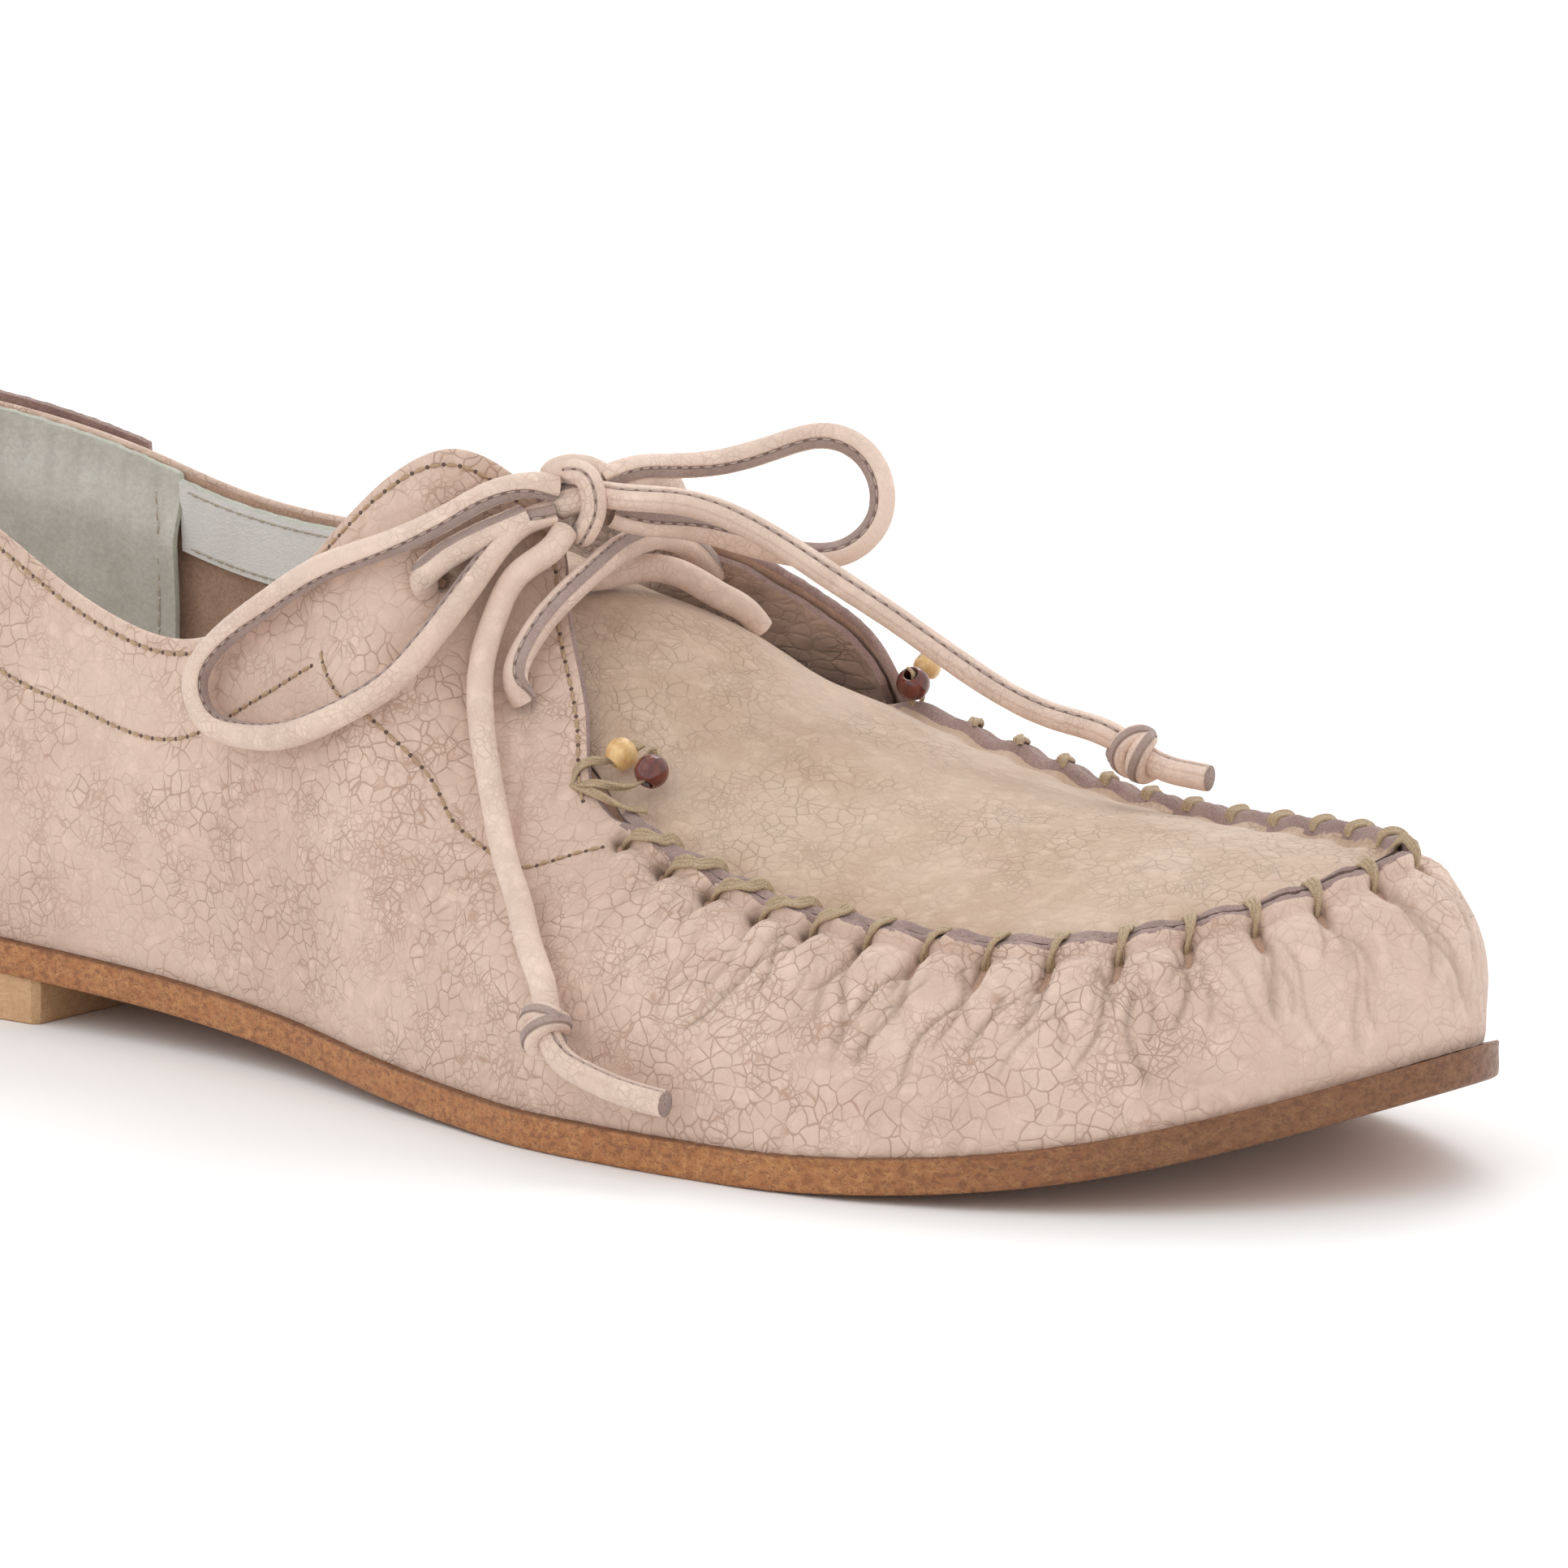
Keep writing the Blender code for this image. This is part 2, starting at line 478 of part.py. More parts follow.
# ---------------------------------------------------------------- the upper
def make_upper():
    t = np.array([-1, -0.5, 0, 0.1, 0.22, 0.36, 0.5, 0.64, 0.78, 0.9, 1.0])
    t = np.broadcast_to(t, (ROUND_STEPS, len(t)))
    s = np.arange(ROUND_STEPS) / ROUND_STEPS
    upper = wall_layer("upper_body", s, t, 0, LEATHER, NUBUCK, loop=True)
    inner = LEATHER + LAYER_GAP
    ledge = 2 * GAP + LEATHER + INSOLE_THICKNESS + GAP      # top of the insole over the sole

    def above_insole(s):
        return height_t(s, sole_top(sole_edge(s, WELT)[0][:, 0]) + ledge + 0.5)

    s = round_shoe(24.4, 31.6)
    wall_layer("toe_puff", s, between(np.full(len(s), 0.2), 0.86, 6), inner, PUFF_THICKNESS, BOARD)
    s = round_shoe(46.9, 3.1)
    low, high = above_insole(s), height_t(s, _upper(s)[:, 4] - 14)
    wall_layer("heel_counter", s, between(low, high, 6), inner, COUNTER_THICKNESS, BOARD)
    s = round_shoe(46.5, 3.5)
    wall_layer("heel_lining", s, between(above_insole(s), 0.985, 7),
               inner + COUNTER_THICKNESS + LAYER_GAP, LINING_THICKNESS, GREY_SUEDE)
    for side, first, last in (("lateral", 3.5, 9.3), ("medial", 42.6, 46.5)):
        s = round_shoe(first, last)
        low = height_t(s, _upper(s)[:, 4] - 9.5)
        wall_layer(f"collar_lining_{side}", s, between(low, 0.985, 3), inner,
                   LINING_THICKNESS, CREAM)
    facings = []
    for side, first, last, heights in (("lateral", 9.6, 17.4, (50, 38, 37, 39)),
                                       ("medial", 35.6, 42.3, (43, 40, 44, 52))):
        s = round_shoe(first, last)
        low = height_t(s, np.interp(np.linspace(0, 3, len(s)), range(4), heights))
        facings.append(wall_layer(f"facing_lining_{side}", s, between(low, 0.985, 6),
                                  inner, LINING_THICKNESS, TONGUE_NUBUCK))
    s = round_shoe(46.9, 3.1)
    arch = np.sin(np.linspace(0.35, np.pi - 0.35, len(s))) ** 0.5
    low = height_t(s, _upper(s)[:, 4] - 20 * arch)
    wall_layer("heel_tab", s, between(low, 1 + 0.024 * arch, 5), -LAYER_GAP - TAB_THICKNESS,
               TAB_THICKNESS, MAUVE_SUEDE)
    for number, (station, height) in enumerate(EYELETS, 1):
        s_eye, t_eye = np.array(station_s(station)), np.array(height)
        normal = Vector(wall_normal(s_eye, t_eye))
        built = bmesh.new()
        turn = normal.to_track_quat("Z", "Y").to_matrix().to_4x4()
        bmesh.ops.create_cone(built, cap_ends=True, segments=10, radius1=EYELET / 2 * MM,
                              radius2=EYELET / 2 * MM, depth=9 * MM,
                              matrix=Matrix.Translation(place(wall(s_eye, t_eye))) @ turn)
        cutter = finish(f"eyelet_bore_{number}", built, *NUBUCK)
        bore_through(cutter, [upper, facings[0 if number < 3 else 1]])


def make_apron():
    a = np.linspace(0, APRON_LENGTH, 26)[:, None]
    w = np.linspace(-1, 1, 13)[None, :]
    top = apron(a, w)
    step = 0.4
    normal = np.cross(apron(a, w + 0.01) - apron(a, w - 0.01), apron(a + step, w) - apron(a - step, w))
    normal /= np.linalg.norm(normal, axis=-1)[..., None]
    normal *= np.sign(normal[..., 2:])
    finish("apron", sandwich(top, top - normal * APRON_THICKNESS), *TONGUE_NUBUCK)
    s = np.linspace(station_s(NOTCH_LATERAL), station_s(NOTCH_MEDIAL), 70)
    normal = wall_normal(s, np.full(70, 0.995))
    seam = wall(s, np.ones(70)) + normal * (THREAD / 2 + LAYER_GAP)
    cord("apron_thread", seam, THREAD, THREAD_LOOK, spacing=2.9)


def make_beads():
    for name, (centre, axis, radius, look) in BEADS.items():
        bore = BEAD_BORE / 2
        start = math.asin(bore / radius)
        arc = np.linspace(start, math.pi - start, 8)
        profile = [(radius * math.sin(a), radius * math.cos(a)) for a in arc]
        on_axis(turned(name, profile, centre, axis, 14, look), centre)
        axis = np.array(axis) / np.linalg.norm(axis)
        ends = [np.array(centre) + axis * reach for reach in (-3.0, -1, 1, radius + 1.0)]
        cord(name.replace("bead", "bead_tie"), ends, THREAD, THREAD_LOOK, spacing=1.6)


# ---------------------------------------------------------------- the lace
def make_lace():
    blob("bow_knot", KNOT, KNOT_RADII, (0.1, 0.0, 1.0), NUBUCK)
    moving = [cord(name, route, LACE, NUBUCK) for name, route in ROUTES.items()
              if name.startswith(("bow_loop", "lace_tail", "lace_end"))]
    for name, route in ROUTES.items():
        if name.startswith(("lace_crossing", "lace_riser")):
            cord(name, route, LACE, NUBUCK)
    for name, (centre, axis) in TAIL_KNOTS.items():
        moving.append(blob(name, centre, TAIL_KNOT_RADII, axis, NUBUCK))
    medial_tail = ("lace_tail_medial", "tail_knot_medial", "lace_end_medial")
    for piece in moving:
        on_axis(piece, MEDIAL_TAIL_ROOT if piece.name in medial_tail else KNOT)


for old in list(bpy.data.objects):
    bpy.data.objects.remove(old, do_unlink=True)
make_bottom()
make_heel_nails()
make_upper()
make_apron()
make_beads()
make_lace()
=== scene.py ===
"""The looks of a women's lace-up moccasin for the right foot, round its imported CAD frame.

Shapes are worked out in millimetres, with x = 0 at the back of the heel, +x toward the toe,
+y toward the inner (medial) side and z = 0 on the ground. place() turns them into the frame's
metres. The functions that give the shoe's surfaces are the same as the CAD part's.
"""
import math

import bpy
import numpy as np
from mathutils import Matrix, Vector


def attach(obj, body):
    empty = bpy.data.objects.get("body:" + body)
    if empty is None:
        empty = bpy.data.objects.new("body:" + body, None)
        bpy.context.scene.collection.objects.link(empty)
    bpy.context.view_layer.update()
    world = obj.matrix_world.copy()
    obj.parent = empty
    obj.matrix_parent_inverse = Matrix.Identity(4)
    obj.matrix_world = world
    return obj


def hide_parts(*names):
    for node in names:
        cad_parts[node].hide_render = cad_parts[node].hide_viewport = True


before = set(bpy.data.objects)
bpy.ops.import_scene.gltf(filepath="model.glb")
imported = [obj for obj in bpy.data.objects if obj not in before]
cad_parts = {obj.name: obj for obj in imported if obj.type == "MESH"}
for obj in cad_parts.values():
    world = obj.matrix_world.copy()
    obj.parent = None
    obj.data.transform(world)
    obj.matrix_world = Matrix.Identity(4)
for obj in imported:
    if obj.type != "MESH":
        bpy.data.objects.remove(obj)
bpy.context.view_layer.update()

MM = 0.001
GAP = 0.3
LAYER_GAP = 0.6
SOLE_THICKNESS = 4.5
WELT = 2.2
LEATHER = 1.3
COUNTER_THICKNESS = 1.2
INSOLE_THICKNESS = 2.0
LINING_THICKNESS = 1.0
TAB_THICKNESS = 1.1
LACE = 3.6
THREAD = 1.1
BEAD_BORE = 1.7
WALL_LEAN = 14
LOW_HANDLE, HIGH_HANDLE = 0.40, 0.38
APRON_ROUNDNESS = 1.9
SEAM_INSET, SEAM_DROP = 1.1, 0.3
HEEL_INSET, HEEL_LENGTH = 0.6, 59.5
CENTRE = (129.26, -7.19)

SOLE_UNDERSIDE = [(0, 8.6), (30, 7.5), (58, 6.0), (85, 4.4), (112, 2.3), (135, 0.7), (155, 0.0),
                  (190, 0.0), (212, 1.4), (236, 5.4), (261, 13.5)]

# The upper, station by station round the sole: heel, outer side, toe, inner side.
# Each row: sole edge x, y, top edge of the upper x, y, z, and the slope there in degrees.
STATIONS = [
    (0, 0, 5, 0, 74, 85), (1.5, -9.5, 8.5, -9.5, 73.3, 85), (9, -20, 15, -18, 71.2, 85),
    (24, -28, 28, -24.5, 68, 85), (45, -31, 47, -27, 64.2, 84), (62, -31.2, 63, -28.5, 57, 82),
    (75, -31.5, 76, -29.5, 52.8, 80), (88, -32.6, 88, -30, 53, 80),
    (98, -34.2, 98, -30, 58.4, 76), (106, -36, 105.5, -29.8, 65, 74),
    (112, -37.8, 111, -28.6, 71, 72), (117, -39.5, 115.8, -26, 76, 68),
    (122, -41.2, 121.5, -21.3, 78.8, 60), (127, -42.8, 127, -15.6, 75, 54),
    (132, -44.3, 131.5, -12.6, 68.2, 52), (137, -45.8, 134, -14.6, 61, 50),
    (142, -47.2, 138.2, -18.2, 54.6, 48), (147, -48.6, 143.4, -22.6, 47.6, 44),
    (152, -49.8, 147.6, -27, 40.6, 36), (158, -50.8, 155.4, -29.8, 36.2, 27),
    (170, -51.8, 170, -32.2, 31.6, 20), (185, -52, 185, -33.6, 29, 18),
    (200, -50.8, 200, -33.6, 28.2, 18), (215, -46.8, 214, -31.6, 28, 18),
    (230, -39.6, 226, -27.2, 29.4, 18), (243, -29, 235, -19.2, 31.6, 18),
    (252.5, -16.5, 241.4, -10.8, 34, 18), (257.6, -6, 244.6, -3, 36, 18),
    (258.6, 3.2, 246, 4.2, 37.3, 18), (255.8, 10.8, 243, 9.6, 37.5, 18),
    (247, 19.6, 235, 14.8, 37.2, 18), (229, 29.6, 220, 20.2, 36, 18),
    (205, 36.4, 201, 24, 35.4, 18), (180, 37.6, 181, 26.6, 37.6, 22),
    (165, 36.6, 166, 27.6, 40.4, 30), (157, 35.4, 157.4, 27.6, 43.4, 42),
    (150, 34, 151.6, 27.4, 51.4, 54), (143, 32.6, 144.4, 25.6, 57, 60),
    (136, 31.2, 136.6, 22.8, 61.4, 62), (128, 30, 128, 20.4, 64.6, 63),
    (120, 28.8, 118.5, 19.6, 67.8, 66), (113, 28, 110, 21.6, 70.6, 70),
    (106, 27.4, 102.5, 24.6, 68.4, 76), (98, 27, 95, 27.2, 63.8, 80),
    (85, 26.8, 83, 28.4, 59.8, 82), (66, 27.5, 65, 28.6, 58.8, 84),
    (45, 28.6, 45, 28.4, 61, 85), (24, 27, 27.5, 26.4, 66, 85),
    (9, 20, 14.6, 19.4, 70.4, 85), (1.5, 9.5, 8.2, 10, 73, 85)]
NOTCH_LATERAL, TOE_TIP, NOTCH_MEDIAL = 19, 28, 35
TONGUE = [  # outer edge, crest and inner edge of the tongue, behind the notches
    ((146, -23.6, 41.4), (148, 1, 52.4), (150, 24, 44)),
    ((136, -21.8, 46.4), (139, 1, 56.6), (141, 21.4, 48.8)),
    ((126, -22, 51.5), (128, 0, 59.6), (131, 18.6, 52.8)),
    ((115, -18.5, 57), (116, 0, 63.6), (119, 15.6, 57.5))]
APRON_CREST = [(246, 37.2), (236, 37.2), (220, 37.4), (202, 38.2), (186, 39.9), (172, 43),
               (158, 48)]
KNOT = np.array([133.9, -11.7, 72.6])
EYELETS = [(15.19, 0.832), (12.68, 0.807), (37.60, 0.891), (39.76, 0.882)]  # station, t


# ---------------------------------------------------------------- curves and surfaces
def spline(params, values, period=None):
    """The smooth cubic through values at params; it closes on itself when it has a period."""
    params, values = np.asarray(params, float), np.asarray(values, float)
    values = values.reshape(len(params), -1)
    if period:
        params, values = np.append(params, params[0] + period), np.vstack([values, values[:1]])
    n, step = len(params), np.diff(params)
    slope = np.diff(values, axis=0) / step[:, None]
    system, right = np.eye(n), np.zeros_like(values)
    for i in range(1, n - 1):
        system[i, i - 1:i + 2] = step[i - 1], 2 * (step[i - 1] + step[i]), step[i]
        right[i] = 6 * (slope[i] - slope[i - 1])
    if period:
        system[0, :2], system[0, -2] = (2 * (step[-1] + step[0]), step[0]), step[-1]
        right[0] = 6 * (slope[0] - slope[-1])
        system[-1, 0], system[-1, -1] = 1, -1
    bend = np.linalg.solve(system, right)

    def at(u):
        u = np.asarray(u, float)
        if period:
            u = params[0] + (u - params[0]) % period
        i = np.clip(np.searchsorted(params, u, side="right") - 1, 0, n - 2)
        h, a = step[i][..., None], (params[i + 1] - u)[..., None]
        b = h - a
        return ((bend[i] * a ** 3 + bend[i + 1] * b ** 3) / (6 * h)
                + (values[i] / h - bend[i] * h / 6) * a + (values[i + 1] / h - bend[i + 1] * h / 6) * b)
    return at


def along(points, closed=False):
    """Running distance along a line of points, and the whole length."""
    points = np.asarray(points, float)
    if closed:
        points = np.vstack([points, points[:1]])
    run = np.concatenate([[0], np.cumsum(np.linalg.norm(np.diff(points, axis=0), axis=1))])
    return (run[:-1], run[-1]) if closed else (run, run[-1])


_table = np.array(STATIONS, float)
_run, _round = along(_table[:, :2], closed=True)
STATION_S = _run / _round
_upper = spline(STATION_S, _table, period=1.0)
_under = spline([p[0] for p in SOLE_UNDERSIDE], [p[1] for p in SOLE_UNDERSIDE])


def with_z(xy, z):
    return np.concatenate([xy, z[..., None]], axis=-1)


def sole_under(x):
    return np.maximum(_under(np.clip(x, 0, 261))[..., 0], 0)


def sole_top(x):
    return sole_under(x) + SOLE_THICKNESS


def sole_edge(s, inset=0.0):
    """Edge of the sole in plan at s, and the direction that points away from the shoe."""
    tangent = _upper(s + 1e-4)[..., :2] - _upper(s - 1e-4)[..., :2]
    tangent /= np.linalg.norm(tangent, axis=-1)[..., None]
    outward = np.stack([tangent[..., 1], -tangent[..., 0]], -1)
    return _upper(s)[..., :2] - outward * inset, outward


def wall(s, t):
    """Outer surface of the upper: t = 0 at the sole, 1 at the top edge."""
    s, t = np.broadcast_arrays(np.asarray(s, float), np.asarray(t, float))
    row = _upper(s)
    foot_xy, outward = sole_edge(s, WELT)
    foot = with_z(foot_xy, sole_top(foot_xy[..., 0]) + GAP)
    top, slope = row[..., 2:5], np.radians(row[..., 5])[..., None]
    out = with_z(outward, np.zeros(s.shape))
    up = np.array([0.0, 0, 1])
    reach = np.linalg.norm(top - foot, axis=-1)[..., None]
    lean = np.radians(WALL_LEAN)
    low = foot + reach * LOW_HANDLE * (up * np.cos(lean) + out * np.sin(lean))
    high = top + reach * HIGH_HANDLE * (out * np.cos(slope) - up * np.sin(slope))
    v = t[..., None]
    return foot * (1 - v) ** 3 + 3 * low * v * (1 - v) ** 2 + 3 * high * v ** 2 * (1 - v) + top * v ** 3


def wall_normal(s, t, step=2e-3):
    s, t = np.broadcast_arrays(np.asarray(s, float), np.asarray(t, float))
    normal = np.cross(wall(s + step, t) - wall(s - step, t), wall(s, t + step) - wall(s, t - step))
    return normal / np.linalg.norm(normal, axis=-1)[..., None]


def height_t(s, height):
    """The t at which the wall reaches a height in z, for each s."""
    t = np.linspace(0, 1, 80)
    grid = wall(np.asarray(s)[:, None], t[None, :])[..., 2]
    return np.array([np.interp(h, z, t) for h, z in zip(np.broadcast_to(height, len(s)), grid)])


def station_s(number):
    """The place round the shoe of a station, which may lie between two."""
    return np.interp(np.asarray(number) % len(STATIONS), np.arange(len(STATIONS) + 1),
                     np.append(STATION_S, 1.0))


def apron_ribs():
    """Left edge, crest and right edge of the apron and tongue from the toe backward."""
    crest = np.array(APRON_CREST[::-1])
    ribs = []
    for f in np.linspace(0.05, 1, 14):
        pair = []
        for notch in (NOTCH_LATERAL, NOTCH_MEDIAL):
            s = STATION_S[TOE_TIP] + f * (STATION_S[notch] - STATION_S[TOE_TIP])
            _, outward = sole_edge(np.array(s))
            pair.append(_upper(np.array(s))[2:5] - np.append(outward * SEAM_INSET, SEAM_DROP))
        middle = (pair[0] + pair[1]) / 2
        middle[2] = max(np.interp(middle[0], crest[:, 0], crest[:, 1]), middle[2])
        ribs.append((pair[0], middle, pair[1]))
    ribs += [tuple(np.array(p, float) for p in rib) for rib in TONGUE]
    return np.array(ribs)


_ribs = apron_ribs()
_rib_run, APRON_LENGTH = along(_ribs[:, 1])
_rib = spline(_rib_run, _ribs.reshape(len(_ribs), 9))


def apron(a, w):
    """Top surface of the apron: a is the distance back from the toe, w runs -1 to 1 across."""
    a, w = np.broadcast_arrays(np.asarray(a, float), np.asarray(w, float))
    left, crest, right = np.split(_rib(a), 3, axis=-1)
    w = w[..., None]
    return crest + (right - left) / 2 * w + ((left + right) / 2 - crest) * np.abs(w) ** APRON_ROUNDNESS


def apron_normal(a, w):
    across = apron(a, w + 0.01) - apron(a, w - 0.01)
    back = apron(np.minimum(a + 0.4, APRON_LENGTH), w) - apron(np.maximum(a - 0.4, 0), w)
    normal = np.cross(across, back)
    normal /= np.linalg.norm(normal, axis=-1)[..., None]
    return normal * np.sign(normal[..., 2:])


def place(points):
    """Millimetres from the heel to metres from the middle of the footprint."""
    points = np.asarray(points, float)
    return (points - np.array([CENTRE[0], CENTRE[1], 0])) * MM


# ---------------------------------------------------------------- noise and small helpers
def noise(points, size, seed):
    """Smooth noise from -1 to 1 whose lumps are about size millimetres across."""
    table = np.random.default_rng(seed).random((24, 24, 24)) * 2 - 1
    p = np.asarray(points, float) / size
    cell = np.floor(p).astype(int)
    f = p - cell
    f = f * f * (3 - 2 * f)
    total = 0
    for dx in (0, 1):
        for dy in (0, 1):
            for dz in (0, 1):
                corner = (cell + (dx, dy, dz)) % 24
                weight = (np.where(dx, f[..., 0], 1 - f[..., 0]) * np.where(dy, f[..., 1], 1 - f[..., 1])
                          * np.where(dz, f[..., 2], 1 - f[..., 2]))
                total = total + weight * table[corner[..., 0], corner[..., 1], corner[..., 2]]
    return total


def ease(low, high, value):
    """0 below low, 1 above high, and smooth between; low may be the larger of the two."""
    f = np.clip((value - low) / (high - low), 0, 1)
    return f * f * (3 - 2 * f)


def bell(value, width):
    return np.exp(-(value / width) ** 2)


def unit(v):
    v = np.asarray(v, float)
    return v / np.linalg.norm(v, axis=-1, keepdims=True)


class Shape:
    """The points and four-sided faces of a piece, gathered part by part."""

    def __init__(self):
        self.points, self.faces, self.kinds, self.dark, self.count = [], [], [], [], 0

    def add(self, points, faces, kind=0, dark=0.0):
        points = np.asarray(points, float).reshape(-1, 3)
        self.points.append(points)
        self.faces.append(np.asarray(faces) + self.count)
        self.kinds.append(np.broadcast_to(kind, len(faces)))
        self.dark.append(np.broadcast_to(np.asarray(dark, float).reshape(-1), len(points)))
        self.count += len(points)

    def grid(self, points, kind=0, dark=0.0, loop=False, flip=False):
        """A grid of points [i, j]; kind may be one number or one for each column of faces j."""
        rows, columns = points.shape[:2]
        i, j = np.meshgrid(np.arange(rows if loop else rows - 1), np.arange(columns - 1), indexing="ij")
        k = (i + 1) % rows
        faces = np.stack([i * columns + j, k * columns + j, k * columns + j + 1, i * columns + j + 1], -1)
        faces = faces[..., ::-1] if flip else faces
        kind = np.broadcast_to(kind, faces.shape[:2]).reshape(-1)
        self.add(points, faces.reshape(-1, 4), kind, dark)

    def tube(self, path, across, up, kinds=0, dark=0.0):
        """A tube: across and up give its section's points in the two directions of each frame."""
        points, side, top = path
        ring = (points[:, None] + side[:, None] * across[None, :, None] + top[:, None] * up[None, :, None])
        n, m = ring.shape[:2]
        i, j = np.meshgrid(np.arange(n - 1), np.arange(m), indexing="ij")
        k = (j + 1) % m
        faces = np.stack([i * m + j, i * m + k, (i + 1) * m + k, (i + 1) * m + j], -1)
        kinds = np.broadcast_to(kinds, faces.shape[:2]).reshape(-1)
        self.add(ring, faces.reshape(-1, 4), kinds, dark)

    def build(self, name, body, looks, slot, replaces=()):
        mesh = bpy.data.meshes.new(name)
        mesh.from_pydata(place(np.concatenate(self.points)), [], np.concatenate(self.faces))
        for look in looks:
            mesh.materials.append(look)
        mesh.polygons.foreach_set("material_index", np.concatenate(self.kinds).astype(np.int32))
        # The dark values become a vertex attribute that the materials darken by. It is painted shade in
        # holes, slits, creases, folds, grooves, bores and joints, and on the outsole it also holds the
        # edge's darker toe tone.
        shade = mesh.attributes.new("painted_shade_and_toe_tone", "FLOAT", "POINT")
        shade.data.foreach_set("value", np.concatenate(self.dark).astype(np.float32))
        mesh.shade_smooth()
        mesh.update()
        piece = bpy.data.objects.new(name, mesh)
        bpy.context.scene.collection.objects.link(piece)
        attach(piece, body)
        if replaces:
            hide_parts(*replaces)
        return piece


def framed(route, spacing, toward):
    """A smooth line through a route, with a side direction turned toward the hints, and its other side."""
    route = np.asarray(route, float)
    run, length = along(route)
    u = np.linspace(0, length, max(4, int(length / spacing) + 1))
    line = spline(run, route)
    points = line(u)
    tangent = unit(np.gradient(points, axis=0))
    toward = np.asarray(toward, float)
    hint = spline(run, toward)(u) if toward.ndim == 2 else np.broadcast_to(toward, points.shape)
    side = hint - np.sum(hint * tangent, -1, keepdims=True) * tangent
    side = unit(side)
    return points, side, np.cross(tangent, side)


# ---------------------------------------------------------------- materials
class Look:
    """A material whose pattern is laid out in millimetres in the shoe's own space."""

    def __init__(self, name, **constants):
        self.material = bpy.data.materials.new(name)
        self.material.use_nodes = True
        self.nodes, self.links = self.material.node_tree.nodes, self.material.node_tree.links
        self.shader = self.nodes["Principled BSDF"]
        for socket, value in constants.items():
            self.shader.inputs[socket.replace("_", " ")].default_value = value
        place_node = self.nodes.new("ShaderNodeTexCoord")
        scaled = self.nodes.new("ShaderNodeMapping")
        scaled.inputs["Scale"].default_value = (1 / MM,) * 3
        self.links.new(place_node.outputs["Object"], scaled.inputs["Vector"])
        self.mm = scaled.outputs["Vector"]

    def make(self, kind, inputs=(), output=0, **settings):
        node = self.nodes.new(kind)
        for key, value in settings.items():
            setattr(node, key, value)
        for key, value in dict(inputs).items():
            if isinstance(value, bpy.types.NodeSocket):
                self.links.new(value, node.inputs[key])
            else:
                node.inputs[key].default_value = value
        return node.outputs[output]

    def noise(self, size, detail=3, where=None, rough=0.5):
        return self.make("ShaderNodeTexNoise", {"Vector": where or self.mm, "Scale": 1 / size,
                                                "Detail": detail, "Roughness": rough})

    def stretched(self, factors, where=None):
        return self.make("ShaderNodeVectorMath", {0: where or self.mm, 1: factors}, operation="MULTIPLY")

    def warped(self, size, amount, where=None):
        """The pattern space pushed about by noise."""
        push = self.make("ShaderNodeTexNoise", {"Vector": where or self.mm, "Scale": 1 / size,
                                                "Detail": 2}, output="Color")
        centred = self.make("ShaderNodeVectorMath", {0: push, 1: (0.5, 0.5, 0.5)}, operation="SUBTRACT")
        grown = self.make("ShaderNodeVectorMath", {0: centred, "Scale": 2 * amount}, operation="SCALE")
        return self.make("ShaderNodeVectorMath", {0: where or self.mm, 1: grown}, operation="ADD")

    def cracks(self, size, width, where):
        """1 on the lines between cells about size across, fading to 0 at width from them."""
        edge = self.make("ShaderNodeTexVoronoi", {"Vector": where, "Scale": 1 / size, "Randomness": 1.0},
                         output="Distance", feature="DISTANCE_TO_EDGE")
        return self.remap(edge, 0, width / size, 1, 0)

    def remap(self, value, a, b, c=0.0, d=1.0, smooth=True):
        return self.make("ShaderNodeMapRange", {"Value": value, "From Min": a, "From Max": b,
                                                "To Min": c, "To Max": d},
                         interpolation_type="SMOOTHSTEP" if smooth else "LINEAR")

    def maths(self, operation, a, b=0.5):
        return self.make("ShaderNodeMath", {0: a, 1: b}, operation=operation)

    def blend(self, share, a, b, how="MIX"):
        colours = [(*c, 1) if isinstance(c, tuple) and len(c) == 3 else c for c in (a, b)]
        return self.make("ShaderNodeMix", {0: share, 6: colours[0], 7: colours[1]}, output=2,
                         data_type="RGBA", blend_type=how)

    def painted_shade_and_toe_tone(self):
        # The vertex attribute of painted shade, which on the outsole also holds the edge's darker toe tone.
        return self.make("ShaderNodeAttribute", output="Fac", attribute_name="painted_shade_and_toe_tone")

    def finish(self, colour, bump=None, depth=0.3, roughness=None):
        """bump is a height from 0 to 1 that stands depth millimetres high."""
        self.links.new(colour, self.shader.inputs["Base Color"])
        if roughness is not None:
            self.links.new(roughness, self.shader.inputs["Roughness"])
        if bump is not None:
            normal = self.make("ShaderNodeBump", {"Height": bump, "Strength": 1.0,
                                                  "Distance": depth * MM}, output="Normal")
            self.links.new(normal, self.shader.inputs["Normal"])
        return self.material


